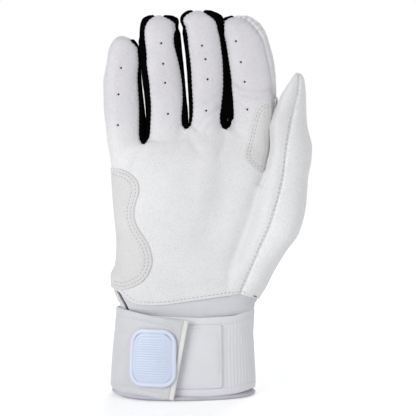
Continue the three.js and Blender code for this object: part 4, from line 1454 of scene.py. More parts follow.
def knit_side(name, centre_x):
    """Whether a strip lies on the left or the right of its finger."""
    _, left, right, _, _ = FORMS[name][0][3]
    return "left" if centre_x < (left + right) / 2 else "right"


PATCH_EDGE = -0.03
inside_patch = {
    name: marked(bm, depth > PATCH_EDGE)
    for name, depth in zip(("heel_patch", "crotch_patch"), patch_depths(points_of(bm)))
}
patch_faces = {}
pieces = {}
for face in bm.faces:
    group = GROUPS[face[group_layer]]
    panel = face[panel_layer]
    centre = face.calc_center_median() / MM
    stem = group.split("_")[0]
    if panel == KNIT and group == "hand":
        nearest = int(np.argmin([abs(line - centre.x) for line in gap_lines(centre.z)]))
        key = (group, f"web_{nearest}", KNIT)
    elif panel == KNIT:
        key = (group, f"knit_{knit_side(stem, centre.x)}", KNIT)
    elif panel == SIDE and group != "hand":
        key = (group, "back", BACK)
    else:
        key = (group, PANEL_NAMES[panel], panel)
    pieces.setdefault(key, []).append(face)
    if panel == FRONT and stem in ("hand", "index"):
        for name, inside in inside_patch.items():
            if all(vert in inside for vert in face.verts):
                patch_faces.setdefault((name, group), []).append(face)
print({f"{group} {what}": len(faces) for (group, what, _), faces in pieces.items()})


# %% Make the leather and knit pieces
FINISH_OF = {
    FRONT: (palm_white, "palm_leather", LEATHER_WALL),
    BACK: (back_white, "back_leather", LEATHER_WALL),
    SIDE: (back_white, "back_leather", LEATHER_WALL),
    KNIT: (black_knit, "side_knit", KNIT_WALL),
}
HAND_NODES = {"front": "palm_leather", "back": "back_leather", "side": "thumb_side_panel"}


def node_for(group, what):
    """The solid that a piece stands for, or None."""
    if group == "hand":
        return HAND_NODES.get(what)
    stem = group.split("_")[0]
    if not what.startswith("knit"):
        return f"{group}_{what}"
    both_sides = stem in ("ring", "middle")
    return f"{group}_fourchette" + (what.removeprefix("knit") if both_sides else "")


for (group, what, panel), faces in pieces.items():
    material, slot, wall = FINISH_OF[panel]
    piece = shell_object(f"sewn_{group}_{what}", copied_faces(faces), wall, material)
    node = node_for(group, what)
    if node:
        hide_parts(node)
    follow(piece, group)
print("pieces made:", len(pieces))

# %% [markdown]
# ## Gusset between the thumb and the hand
# At rest the thumb lies against the hand, and the crook of the thumb hides the inside of the glove.
# As the thumb or the index finger bends, that crook opens. A real glove has a gusset there. Here
# each side gets a flat wall of leather just inside the parting, in the same group as the piece that
# it closes. Each wall is a grid, laid between the front and the back of the skin along the parting.

# %% Gusset walls
GUSSET_EDGE, GUSSET_GAP, GUSSET_STEP, GUSSET_COLUMNS = 0.4, 0.15, 1.2, 14
# Points of the parting in front of this are its front edge, and the others its back edge.
GUSSET_PARTS_Y = -4.4
PARTING_REACH = 1.5
LEAST_DEPTH = 0.1
GUSSET_TOP = 187.8
GUSSETS = {
    "hand": (THUMB_BASE, FINGER_BASE, -1), "index_lower": (FINGER_BASE, GUSSET_TOP, -1),
    "thumb_lower": (THUMB_BASE, THUMB_MIDDLE, 1), "thumb_upper": (THUMB_MIDDLE, GUSSET_TOP, 1),
}


def parting_edges():
    """The front and the back of the skin along the parting of the thumb, as columns of z and y."""
    places = set()
    for edge in bm.edges:
        if len({GROUPS[face[group_layer]].startswith("thumb") for face in edge.link_faces}) == 2:
            places |= {tuple(vert.co / MM) for vert in edge.verts}
    near = sorted((z, y) for x, y, z in places if abs(x - float(thumb_line(y))) < PARTING_REACH)
    front = [row for row in near if row[1] < GUSSET_PARTS_Y]
    back = [row for row in near if row[1] >= GUSSET_PARTS_Y]
    return np.array(front).T, np.array(back).T


front_edge, back_edge = parting_edges()
for group, (low, high, turned) in GUSSETS.items():
    made = bmesh.new()
    rows = max(4, round((high - low) / GUSSET_STEP))
    bmesh.ops.create_grid(made, x_segments=GUSSET_COLUMNS, y_segments=rows, size=1)
    for vert in made.verts:
        z = low + (high - low) * (vert.co.y + 1) / 2
        front = np.interp(z, *front_edge) + GUSSET_EDGE
        back = max(np.interp(z, *back_edge) - GUSSET_EDGE, front + LEAST_DEPTH)
        y = front + (back - front) * (vert.co.x + 1) / 2
        vert.co = Vector((float(thumb_line(y)) + turned * GUSSET_GAP, y, z)) * MM
    if turned > 0:
        bmesh.ops.reverse_faces(made, faces=made.faces)
    made.normal_update()
    gusset = shell_object(f"sewn_thumb_gusset_{group}", made, KNIT_WALL, palm_white)
    follow(gusset, group)
print("gusset walls:", list(GUSSETS))

# %% [markdown]
# ## Patches
# Two patches of thicker leather are sewn over the palm piece: one on the heel of the hand, where
# the knob of the bat rubs, and one in the crook of the thumb. Each is a copy of the skin under it,
# lifted by its own thickness, with a rounded edge and grooves for two rows of stitches.

# %% Patches lifted off the palm
PATCH_LIFT, PATCH_ROUND, PATCH_WALL = 0.85, 1.1, 0.95 * MM
ROW_DEEP, ROW_WIDE = 0.2, 0.75
PATCH_NODES = {
    ("heel_patch", "hand"): "heel_patch", ("crotch_patch", "hand"): "crotch_patch",
    ("crotch_patch", "index_lower"): "crotch_patch_wing",
}
PATCH_ROWS = {"heel_patch": HEEL_ROWS, "crotch_patch": CROTCH_ROWS}


def quarter_circle(depth, radius):
    """A rise from 0 to 1 over a rounded edge."""
    return np.sqrt(1 - (1 - np.clip(depth / radius, 0, 1)) ** 2)


patch_trees = {}
for (name, group), faces in patch_faces.items():
    if (name, group) not in PATCH_NODES:
        continue
    made = copied_faces(faces)
    depth = patch_depths(points_of(made))[0 if name == "heel_patch" else 1]
    lift = PATCH_LIFT * quarter_circle(depth, PATCH_ROUND)
    for row in PATCH_ROWS[name]:
        lift -= groove(depth - row, ROW_DEEP, ROW_WIDE)
    for vert, height in zip(made.verts, lift):
        vert.co += vert.normal * float(height) * MM
    made.normal_update()
    patch_trees.setdefault(name, []).append(BVHTree.FromBMesh(made))
    piece = shell_object(f"sewn_{PATCH_NODES[name, group]}", made, PATCH_WALL, patch_white)
    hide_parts(PATCH_NODES[name, group])
    follow(piece, group)
print("patches:", {" on ".join(key): len(faces) for key, faces in patch_faces.items()})

# %% [markdown]
# ## Stitches
# A stitch is a short thread that lies on the leather and dips into it at both ends. Each row is a
# line on a surface, walked off in equal steps, and one mesh holds all its stitches. The rows of a
# patch or a hem lie in the shallow grooves that were pressed for them above.

# %% A row of stitches along points on a surface
STITCH_SIDES, STITCH_RINGS = 6, 5
# In thread radii, how high a stitch lies at its middle and how far it dips at its ends.
STITCH_RISE, STITCH_DIP = 0.35, 2.2
STITCH_THINS = 0.75


def lengths_along(points):
    """How far along a line each of its points lies."""
    return np.concatenate([[0], np.cumsum(np.linalg.norm(np.diff(points, axis=0), axis=1))])


def stitch_mesh(name, rows, pitch, length, radius, material):
    """One object with all the stitches of some rows. A row is its points and normals, in mm."""
    turns = np.arange(STITCH_SIDES) / STITCH_SIDES * 2 * math.pi
    u = np.linspace(-1, 1, STITCH_RINGS)
    thin = np.sqrt(np.maximum(1 - STITCH_THINS * u**4, 0))
    corners, faces = [], []
    numbers = np.arange(STITCH_RINGS * STITCH_SIDES).reshape(STITCH_RINGS, STITCH_SIDES).tolist()
    ring_faces = [
        (lower[k], upper[k], upper[(k + 1) % STITCH_SIDES], lower[(k + 1) % STITCH_SIDES])
        for lower, upper in zip(numbers, numbers[1:]) for k in range(STITCH_SIDES)
    ] + [numbers[0], numbers[-1][::-1]]
    for points, normals in rows:
        points, normals = np.asarray(points, float), np.asarray(normals, float)
        run = lengths_along(points)
        for middle in np.arange(pitch / 2, run[-1], pitch):
            start, centre, end = (
                np.array([np.interp(at, run, points[:, axis]) for axis in range(3)])
                for at in (middle - length / 2, middle, middle + length / 2)
            )
            up = np.array([np.interp(middle, run, normals[:, axis]) for axis in range(3)])
            along = (end - start) / max(np.linalg.norm(end - start), 1e-9)
            up -= along * (up @ along)
            up /= np.linalg.norm(up)
            side = np.cross(along, up)
            rise = radius * (STITCH_RISE - STITCH_DIP * u**4)
            spine = centre + along * (u * length / 2)[:, None] + up * rise[:, None]
            round_it = np.cos(turns)[None, :, None] * side + np.sin(turns)[None, :, None] * up
            rings = spine[:, None, :] + radius * thin[:, None, None] * round_it
            base = len(corners)
            corners.extend(rings.reshape(-1, 3) * MM)
            faces.extend(tuple(base + i for i in face) for face in ring_faces)
    mesh = bpy.data.meshes.new(name)
    mesh.from_pydata([tuple(corner) for corner in corners], [], faces)
    mesh.materials.append(material)
    mesh.polygons.foreach_set("use_smooth", [True] * len(mesh.polygons))
    made = bpy.data.objects.new(name, mesh)
    scene.collection.objects.link(made)
    return made


def beside(line, distance):
    """An open flat line moved aside, to the left of someone who walks along it."""
    line = rounded(line)
    step = np.gradient(line, axis=0)
    step /= np.maximum(np.linalg.norm(step, axis=1), 1e-9)[:, None]
    return line + distance * np.column_stack([-step[:, 1], step[:, 0]])


THROWN_STEP, THROWN_FROM = 0.5, -0.1
LARGEST_JUMP, LEAST_FACING, LEAST_POINTS = 1.5, 0.12, 5


def row_on(tree, line):
    """The points of a flat line thrown on a surface from the front, split where it turns away."""
    rows = [([], [])]
    run = lengths_along(line)
    for at in np.arange(0, run[-1], THROWN_STEP):
        x, z = np.interp(at, run, line[:, 0]), np.interp(at, run, line[:, 1])
        start = Vector((x * MM, THROWN_FROM, z * MM))
        place, normal, _, _ = tree.ray_cast(start, Vector((0, 1, 0)))
        jump = rows[-1][0] and place and abs(place.y / MM - rows[-1][0][-1][1]) > LARGEST_JUMP
        if place is None or normal.y > -LEAST_FACING or jump:
            rows.append(([], []))
            continue
        rows[-1][0].append((place / MM)[:])
        rows[-1][1].append(normal[:])
    return [row for row in rows if len(row[0]) >= LEAST_POINTS]


# %% Rows on the hand: patches, thumb seam, hem and bar tack
THREAD = 0.17
heel_line = at_depth(HEEL_PATCH[1:15], THUMB_PIECE_DEPTH)
crotch_line = at_depth(CROTCH_PATCH[1:11], FINGER_PIECE_DEPTH)
thumb_line_row = at_depth([(293.2, 116), *THUMB_SEAM[5:]], THUMB_PIECE_DEPTH)
hem_line_row = at_depth(PALM_HEM[2:12], THUMB_PIECE_DEPTH)
# Each set of rows is its surfaces, its line, how far its rows lie to the left of the line, the
# pitch and the length of its stitches, and the group that it moves with.
on_heel, on_crotch = patch_trees["heel_patch"], patch_trees["crotch_patch"]
for name, trees, line, asides, pitch, length, group in (
    ("heel_patch", on_heel, heel_line, [-row for row in HEEL_ROWS], 2.3, 1.75, "hand"),
    ("crotch_patch", on_crotch, crotch_line, CROTCH_ROWS, 2.3, 1.75, "index_lower"),
    ("thumb_seam", [hand_tree], thumb_line_row, [-1.3], 2.8, 1.7, "thumb_lower"),
    ("palm_hem", [hand_tree], hem_line_row, [1.9], 2.5, 1.7, "hand"),
):
    rows = [row for tree in trees for aside in asides for row in row_on(tree, beside(line, aside))]
    follow(stitch_mesh(f"stitches_{name}", rows, pitch, length, THREAD, grey_thread), group)
bar = row_on(hand_tree, at_depth([(253.6, 295.6), (257.6, 298.2)], THUMB_PIECE_DEPTH))
follow(stitch_mesh("stitches_bar_tack", bar, 0.6, 0.9, 0.34, dark_thread), "hand")
print("stitches on the hand laid")

# %% Black discs behind the air holes: painted shade of the finger's inside
SHADE_DISC_RADIUS, SHADE_DISC_DEEP, SHADE_DISC_WALL = 1.7, 1.6, 0.3
# Painted shade: a black disc behind each hole keeps it dark from every side, as the shade inside
# the finger does.
for i, (name, place, normal) in enumerate(holes):
    made = bmesh.new()
    bmesh.ops.create_circle(made, cap_ends=True, segments=12, radius=SHADE_DISC_RADIUS * MM)
    turn = Vector(normal).to_track_quat("Z", "Y").to_matrix().to_4x4()
    behind = Vector((place - normal * SHADE_DISC_DEEP) * MM)
    bmesh.ops.transform(made, matrix=Matrix.Translation(behind) @ turn, verts=made.verts[:])
    disc = mesh_object(f"hole_backing_{name}_{i}", made, black_knit)
    disc.modifiers.new("wall", "SOLIDIFY").thickness = SHADE_DISC_WALL * MM
    above = f"{name}_upper" if place[2] > MIDDLES[name] else f"{name}_lower"
    follow(disc, above if place[2] > BASES[name] else "hand")
print("discs behind the air holes:", len(holes))

# %% [markdown]
# ## The cuff
# The cuff is a stack of layers round a flat oval: a soft lining, the wrist panels that join the
# cuff to the hand, an elastic band with a slit under the closing tab, and outside them the strap.
# Every layer is cut as a flat pattern, with the girth of the cuff as its length, and is then laid
# round the oval at its own distance. So a hem, a row of stitches or a rib is drawn on the flat
# pattern, and the layers stay clear of each other wherever the oval is drawn in at the wrist.

# %% The cuff's oval, measured along its girth
CUFF_X, CUFF_Y = -14.3, 2.0
CUFF_HALF_WIDTH, CUFF_HALF_DEPTH, CUFF_POWER = 43.3, 21.0, 2.15
BAND_WALL, PANEL_WALL, LINING_WALL, STRAP_WALL = 1.8, 1.1, 1.2, 1.6
PANEL_INSET, LINING_INSET = 2.15, 3.6
LOOP_INSET, HOOK_INSET, TAB_INSET, PULL_INSET, STRAP_INSET = -0.85, -2.7, -4.65, -6.4, -1.95
# How far the whole cuff is drawn in at the left and let out at the right, by height.
LEFT_IN = [(0, 0.6), (8, 0.0), (30, 1.3), (53, 3.6), (60, 3.6)]
RIGHT_OUT = [(0, 0.6), (9, 1.1), (24, 0.3), (38, -0.5), (53, 0.3), (60, 0.6)]
GIRTH_STEPS = 2880
# How far beside a line faces are looked at when a pattern, the wrist or an opening is cut.
PATTERN_REACH, WRIST_REACH, OPENING_REACH = 4, 3, 2
FRONT_HALF = slice(GIRTH_STEPS // 2, GIRTH_STEPS + 1)


def drawn(x, height):
    """How far the cuff is drawn in or let out."""
    side = np.clip((x - CUFF_X) / CUFF_HALF_WIDTH, -1, 1)
    left, right = (np.interp(height, *np.array(rows).T) for rows in (LEFT_IN, RIGHT_OUT))
    return side**2 * np.where(side < 0, left, right)


class Layer:
    """The cuff's oval at an inset. Its girth runs from the fold at the left over the front."""

    def __init__(self, inset):
        turn = np.linspace(-math.pi, math.pi, GIRTH_STEPS + 1)
        c, s = np.cos(turn), np.sin(turn)
        wide, deep = CUFF_HALF_WIDTH - inset, CUFF_HALF_DEPTH - inset
        self.x = CUFF_X - wide * np.sign(c) * np.abs(c) ** (2 / CUFF_POWER)
        self.y = CUFF_Y - deep * np.sign(s) * np.abs(s) ** (2 / CUFF_POWER)
        along = np.concatenate([[0], np.cumsum(np.hypot(np.diff(self.x), np.diff(self.y)))])
        self.girth = along - along[GIRTH_STEPS // 2]
        self.around = along[-1]
        step_x, step_y = np.gradient(self.x), np.gradient(self.y)
        long = np.maximum(np.hypot(step_x, step_y), 1e-9)
        self.out_x, self.out_y = step_y / long, -step_x / long

    def read(self, girth, *columns):
        """Some of the layer's columns at a girth, which may run on past the fold."""
        girth = (np.asarray(girth, float) - self.girth[0]) % self.around + self.girth[0]
        return [np.interp(girth, self.girth, column) for column in columns]

    def at(self, girth, height, out=0.0):
        """Places on the layer, in millimetres, lifted outwards."""
        x, y, out_x, out_y = self.read(girth, self.x, self.y, self.out_x, self.out_y)
        x, y = x + out * out_x, y + out * out_y
        return np.column_stack([x + drawn(x, height), y, height])

    def outwards(self, girth):
        return np.column_stack([*self.read(girth, self.out_x, self.out_y), np.zeros(len(girth))])

    def girth_at(self, x):
        """The girth over the front at some x."""
        return np.interp(x, self.x[FRONT_HALF], self.girth[FRONT_HALF])


def cut_away(bm, field, reach, here=lambda co: True):
    """Cuts a mesh where a field is zero, and deletes the side on which it is negative."""
    cut_along(bm, field, lambda co, value: here(co) & (np.abs(value) < reach))
    co = points_of(bm)
    gone = marked(bm, here(co) & (field(co) < -TOUCH))
    bmesh.ops.delete(bm, geom=list(gone), context="VERTS")


def pattern_mesh(outline, step_along, step_up):
    """A flat grid cut to an outline, with girth as x and height as z, in metres."""
    low, high = outline.min(axis=0), outline.max(axis=0)
    across = max(2, int((high[0] - low[0]) / step_along))
    up = max(2, int((high[1] - low[1]) / step_up))
    made = bmesh.new()
    bmesh.ops.create_grid(made, x_segments=across, y_segments=up, size=0.5)
    for vert in made.verts:
        x, z = vert.co.x + 0.5, vert.co.y + 0.5
        vert.co = (
            (low[0] + x * (high[0] - low[0])) * MM, 0.0, (low[1] + z * (high[1] - low[1])) * MM,
        )
    cut_away(made, depth_in(outline), PATTERN_REACH)
    return made


def turned_edge(depth, radius):
    """How far an edge falls away over its last stretch, as a quarter circle."""
    return radius * (quarter_circle(depth, radius) - 1)


def lay_round(made, layer, outline, relief):
    """Lays a flat pattern round a layer. Relief is the lift at a girth, height and edge depth."""
    co = points_of(made)
    girth, _, height = co.T
    depth = np.maximum(depth_in(outline)(co), 0)
    places = layer.at(girth, height, relief(girth, height, depth))
    laid = made.verts.layers.float_vector.new(LAID)
    for vert, place, flat in zip(made.verts, places, co):
        vert.co = place * MM
        vert[laid] = flat * MM
    bmesh.ops.recalc_face_normals(made, faces=made.faces[:])
    middle = CUFF_X * MM
    outer = max(made.faces, key=lambda face: abs(face.calc_center_median().x - middle))
    if outer.normal.x * (outer.calc_center_median().x - middle) < 0:
        bmesh.ops.reverse_faces(made, faces=made.faces[:])
    made.normal_update()


def rectangle(left, right, low, high, corner=0.0):
    """An outline with round corners."""
    if not corner:
        return np.array([(left, low), (right, low), (right, high), (left, high)], float)
    turns = np.linspace(0, math.pi / 2, 7)
    points = []
    for x, z, start in ((right - corner, high - corner, 0), (left + corner, high - corner, 1),
                        (left + corner, low + corner, 2), (right - corner, low + corner, 3)):
        for turn in turns + start * math.pi / 2:
            points.append((x + corner * math.cos(turn), z + corner * math.sin(turn)))
    return np.array(points)


def cuff_piece(node, made, wall, material, slot, body="hand"):
    """Finishes a piece of the cuff: its wall, the solid it stands for and its body. slot is not
    used.
    """
    piece = shell_object(f"sewn_{node}", made, wall * MM, material)
    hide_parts(node)
    if body:
        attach(piece, body)
    return piece


def laid_piece(node, layer, outline, steps, relief, *finish):
    """A piece of the cuff that is cut from a flat pattern and laid round a layer."""
    made = pattern_mesh(outline, *steps)
    lay_round(made, layer, outline, relief)
    return cuff_piece(node, made, *finish)


def valley(distance, deep, wide):
    """A groove that thread pulls into cloth."""
    return -groove(distance, deep, wide)


def joined(made, rings):
    """Joins each ring of points to the next with faces."""
    for lower, upper in zip(rings, rings[1:]):
        for i in range(len(lower)):
            j = (i + 1) % len(lower)
            made.faces.new((lower[i], lower[j], upper[j], upper[i]))


# %% Lining and elastic band
lining_layer = Layer(LINING_INSET)
band_layer = Layer(0.0)
SLIT_X, SLIT_HALF = -48.0, 1.5
BAND_FOOT = [
    (-30, 3.4), (-12, 8.6), (14, 8.2), (32, 3.2), (62, 1.9), (84, 2.8), (96, 4.4), (110, 4.0),
]
BAND_HEAD = [(-30, 53.5), (30, 52.6), (62, 51.6), (84, 52.2), (96, 54.6), (110, 54.4)]
RIB_PITCH, RIB_DEEP = 2.3, 0.09
HEM_HEIGHT = 4.6
LINING_HEAD = 51.5


def closed_tube(layer, rows, step, relief):
    """A tube round a layer. Rows give its height at each girth, from foot to head."""
    columns = int(layer.around / step)
    girth = np.arange(columns) / columns * layer.around
    made = bmesh.new()
    laid = made.verts.layers.float_vector.new(LAID)
    rings = []
    for share in rows:
        height = relief["foot"](girth) * (1 - share) + relief["head"](girth) * share
        places = layer.at(girth, height, relief["lift"](girth, height, share))
        rings.append([made.verts.new(place * MM) for place in places])
        for vert, along, up in zip(rings[-1], girth, height):
            vert[laid] = (along * MM, 0.0, up * MM)
    joined(made, rings)
    made.normal_update()
    return made


def level(value):
    return lambda girth: np.full(len(girth), float(value))


# The lining is turned out round the band's foot. Each row is the girth there, the height of the
# roll's middle, its half height and how far it stands out.
LINING_ROLL = [
    (-60, 0.9, 1.5, 2.6), (-30, 1.6, 2.2, 4.2), (-12, 2.6, 3.2, 6.0), (2, 2.8, 3.4, 7.8),
    (14, 2.7, 3.3, 9.6), (26, 2.2, 2.9, 9.6), (42, 1.5, 2.2, 7.2), (62, 1.1, 1.8, 5.4),
    (84, 1.1, 1.8, 4.6), (95, 1.3, 1.9, 4.0),
]


def lining_lift(girth, height, share):
    """The lining rolls out below the band, with soft puckers."""
    turned = (girth + 60) % lining_layer.around - 60
    at, middle, half, out = np.array(LINING_ROLL).T
    middle, half, out = (np.interp(turned, at, row) for row in (middle, half, out))
    pucker = 1 + 0.05 * np.sin(girth / 3.3) * np.sin(girth / 1.9 + 1.3)
    return out * pucker * np.exp(-(((height - middle) / half) ** 2))


made = closed_tube(
    lining_layer, np.concatenate([np.linspace(0, 0.2, 14), np.linspace(0.23, 1, 18)]), 1.1,
    {"foot": level(0.0), "head": level(LINING_HEAD), "lift": lining_lift},
)
cuff_piece("cuff_lining", made, LINING_WALL, lining_knit, "cuff_lining")


def band_edge(rows):
    """The height of the band's foot or head, symmetric enough to close round the back."""
    at, height = np.array(rows, float).T
    return lambda girth: np.interp(
        (girth + 40) % band_layer.around - 40, [-40, *at, band_layer.around - 40],
        [height[0], *height, height[0]],
    )


def band_lift(girth, height, share):
    """Ribs of elastic, with a smooth hem turned over at the head and the foot."""
    foot, head = height - band_edge(BAND_FOOT)(girth), band_edge(BAND_HEAD)(girth) - height
    edge = np.minimum(foot, head)
    in_hem = 1 - eased(edge, HEM_HEIGHT - 0.5, HEM_HEIGHT + 0.5)
    rib = RIB_DEEP * np.cos(girth / RIB_PITCH * 2 * math.pi) * (1 - 0.75 * in_hem)
    slack = 0.22 * np.sin(girth / 17.0 + 0.6) * np.sin(height / 16.0)
    soft = rib + slack + 0.12 * in_hem
    return soft + valley(edge - HEM_HEIGHT, 0.22, 0.5) + turned_edge(edge, 0.8)


hem_rows = np.array([0, 0.004, 0.01, 0.02, 0.04, 0.065, 0.08, 0.09, 0.1, 0.12])
made = closed_tube(
    band_layer, np.concatenate([hem_rows, np.linspace(0.15, 0.85, 22), 1 - hem_rows[::-1]]), 0.5,
    {"foot": band_edge(BAND_FOOT), "head": band_edge(BAND_HEAD), "lift": band_lift},
)
cut_away(
    made, lambda co: np.abs(co[:, 0] - SLIT_X) - SLIT_HALF, OPENING_REACH,
    lambda co: co[:, 1] < 0,
)
cuff_piece("cuff_band", made, BAND_WALL, band_elastic, "cuff_band")
print("lining and band laid, girth", round(band_layer.around), "mm")

# %% Wrist panels between the band and the hand
WRIST_LOW, WRIST_HIGH = 46.0, 74.0
WRIST_COLUMNS, WRIST_IN = 260, 1.3
# By height: where the directions are taken, where the skin is first measured, and between which
# heights the panel passes from the cuff's oval to the skin.
AIMED_AT, MEASURED_FROM = 50.0, 58.8
PASSES_FROM, PASSES_TO = 50.5, 57.0
CREASE_DEEP, CREASE_FROM, CREASE_HEIGHT, CREASE_HALF = 0.35, 53, 58, 6.5
SLIT_DEPTH = -14
wrist_layer = Layer(PANEL_INSET)


def hand_section(height, directions):
    """Where the skin lies at a height, in each direction from the middle of the wrist."""
    middle = Vector((CUFF_X * MM, CUFF_Y * MM, height * MM))
    places = []
    for across, back in directions:
        place, normal, _, _ = whole_hand.ray_cast(middle, Vector((across, back, 0)))
        flat = Vector((normal.x, normal.y, 0)).normalized()
        flat = flat if flat.dot(Vector((across, back, 0))) > 0 else -flat
        places.append(((place - flat * WRIST_IN * MM) / MM)[:])
    return np.array(places)


def wrist_rows():
    """Rows of the wrist panels, from inside the band to inside the hand."""
    girth = np.arange(WRIST_COLUMNS) / WRIST_COLUMNS * wrist_layer.around
    cuff_ring = wrist_layer.at(girth, np.full(WRIST_COLUMNS, AIMED_AT))
    directions = cuff_ring[:, :2] - (CUFF_X, CUFF_Y)
    directions /= np.linalg.norm(directions, axis=1)[:, None]
    heights = np.concatenate([np.linspace(WRIST_LOW, 52, 5), np.linspace(53, WRIST_HIGH, 30)])
    rows = []
    for height in heights:
        low = wrist_layer.at(girth, np.full(WRIST_COLUMNS, height))
        high = hand_section(max(height, MEASURED_FROM), directions)
        share = eased(height, PASSES_FROM, PASSES_TO)
        row = low * (1 - share) + high * share
        row[:, 2] = height
        crease = CREASE_DEEP * np.sin(height / 1.9 + 1.6 * np.sin(girth / 31.0))
        crease *= eased(height, CREASE_FROM, PASSES_TO)
        crease *= groove(height - CREASE_HEIGHT, 1, CREASE_HALF)
        row[:, :2] += directions * crease[:, None]
        rows.append(row)
    return rows


rows = wrist_rows()
slit = rounded(at_depth(WRIST_SLIT, SLIT_DEPTH))


def off_slit(co):
    """Distance of points from the edge of the slit in the wrist panel."""
    return polyline_distance(FlatPoints(co[:, [0, 2]]), slit, 6.0) - WRIST_SLIT_HALF


for node, turned, material, slot in (
    ("wrist_panel", -1, wrist_cloth, "cuff_band"),
    ("wrist_back_panel", 1, back_white, "back_leather"),
):
    made = bmesh.new()
    joined(made, [[made.verts.new(place * MM) for place in row] for row in rows])
    cut_away(made, lambda co: turned * (co[:, 1] - CUFF_Y), WRIST_REACH)
    if turned < 0:
        cut_away(made, off_slit, OPENING_REACH)
    made.normal_update()
    cuff_piece(node, made, PANEL_WALL, material, slot)

gusset_outline = rectangle(*wrist_layer.girth_at(np.array([SLIT_X - 7, SLIT_X + 7])), 2.5, 46.0)
laid_piece(
    "slit_gusset", wrist_layer, gusset_outline, (1.0, 1.5),
    lambda girth, height, depth: 0.15 * np.sin(height / 2.2) + turned_edge(depth, 0.5),
    PANEL_WALL, lining_knit, "cuff_lining",
)
print("wrist panels and gusset laid")

# %% The strap's outline, read off the photograph onto its layer
TAB_TOP = [(119, 307.6), (129.4, 310.8), (152.4, 316.2), (170, 319.2), (188.8, 321.4)]
TAB_FOOT = [(173.6, 405.4), (158, 403.2), (143.2, 400), (130, 396.6), (118, 392)]
TAB_ROW = [(117, 314), (150, 322.6), (181.4, 329.4), (169.4, 395.4), (140, 389.4), (114, 382.5)]
ROOT_GIRTH, ROOT_LOW, ROOT_HIGH = -9.5, 7.6, 55.4
BINDING_WIDTH = 3.0
TAB_LOWEST = 0.9
PHOTO_ROUNDS = 8


def from_photo(layer, pixels):
    """Girth and height on the front of a layer for some pixels of the photograph."""
    found = []
    for pixel in pixels:
        y = layer.y.min()
        for _ in range(PHOTO_ROUNDS):
            x, z = at_depth([pixel], y)[0]
            plain = x - drawn(x, z)
            y = 0.5 * y + 0.5 * np.interp(plain, layer.x[FRONT_HALF], layer.y[FRONT_HALF])
        found.append((float(layer.girth_at(plain)), z))
    return np.array(found)


tab_layer = Layer(TAB_INSET)
tab_top = from_photo(tab_layer, TAB_TOP)
tab_foot = from_photo(tab_layer, TAB_FOOT)
tab_foot[:, 1] = np.maximum(tab_foot[:, 1], TAB_LOWEST)
tab_root = np.array([(ROOT_GIRTH, ROOT_LOW), (ROOT_GIRTH, ROOT_HIGH)])
end_top, end_foot = tab_top[-1], tab_foot[0]
inwards = np.array([end_foot[1] - end_top[1], end_top[0] - end_foot[0]])
inwards /= np.linalg.norm(inwards)
tab_end_inner = np.array([end_top, end_foot]) + inwards * (BINDING_WIDTH - 0.4)
tab_outline = np.vstack([tab_root, tab_top[:-1], tab_end_inner, tab_foot[1:]])
tab_row = from_photo(tab_layer, TAB_ROW)
print("tab outline in girth and height:", tab_outline.round(1).tolist())

# %% Strap round the back, closing tab with its binding
strap_layer = Layer(STRAP_INSET)
STRAP_END = -strap_layer.girth_at(8.0)
strap_outline = rounded(np.array([
    (STRAP_END, 7.4), (STRAP_END + 3, 4.4), (-30, 4.2), (-14, 5.6), (-1, 7.6), (0.5, 8.4),
    (0.5, 54), (-1, 54.5), (-14, 52.6), (-30, 50.6), (STRAP_END + 3, 50.2), (STRAP_END, 47.2),
]), 1, closed=True)


def strap_lift(girth, height, depth):
    slack = 0.25 * np.sin(girth / 9.0) * np.sin(height / 11.0 + 0.5)
    return slack + turned_edge(depth, 0.75) + valley(depth - 3.0, 0.22, 0.6)


laid_piece(
    "strap_back", strap_layer, strap_outline, (0.9, 0.9), strap_lift,
    STRAP_WALL, strap_leather, "strap",
)


def follow_tab(piece):
    """A piece of the closing tab has its placing baked into its mesh."""
    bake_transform(piece)


def tab_lift(girth, height, depth):
    """The tab lies over the strap at its root, wrinkles softly and is drawn in by its seams."""
    root = 0.85 * (1 - eased(girth, -6.0, 5.0))
    points = FlatPoints(np.column_stack([girth, height]))
    row = polyline_distance(points, rounded(tab_row), 5.0)
    wave = 0.22 * np.sin(girth / 6.5 + height / 19.0) * np.cos(height / 13.0 - 0.4)
    edge = turned_edge(depth, 0.75)
    return -root + wave + edge + valley(row, 0.3, 0.8) + valley(girth + 7.0, 0.2, 0.6)


follow_tab(laid_piece(
    "strap_tab", tab_layer, tab_outline, (0.8, 0.8), tab_lift,
    STRAP_WALL, strap_leather, "strap", None,
))

binding_outline = np.array([
    end_top, end_foot, end_foot + inwards * BINDING_WIDTH, end_top + inwards * BINDING_WIDTH,
])
laid_piece(
    "tab_end_binding", tab_layer, binding_outline, (0.35, 0.7),
    lambda girth, height, depth: 0.3 + turned_edge(depth, 0.6),
    STRAP_WALL + 0.35, cream_trim, "strap_trim", "tab",
)

# %% Loop panel, hook pad and pull patch
loop_layer, hook_layer, pull_layer = Layer(LOOP_INSET), Layer(HOOK_INSET), Layer(PULL_INSET)
FASTENER_LEFT, LOOP_RIGHT, HOOK_RIGHT = -45.0, 9.0, -23.8
LOOP_ENDS = loop_layer.girth_at(np.array([FASTENER_LEFT, LOOP_RIGHT]))
LOOP_LOW, LOOP_HIGH, LOOP_SEAM, LOOP_CORNER = 7.2, 47.2, 2.0, 2.0
HOOK_LOW, HOOK_HIGH, HOOK_CORNER = 10.2, 44.2, 2.0
LOOP_WALL, HOOK_WALL = 0.8, 1.0


def loop_lift(girth, height, depth):
    """A woven face with a row of stitches inside its edge."""
    weave = 0.06 * np.sin(girth * 1.9) * np.sin(height * 2.3)
    return turned_edge(depth, 0.7) + valley(depth - LOOP_SEAM, 0.3, 0.6) + weave


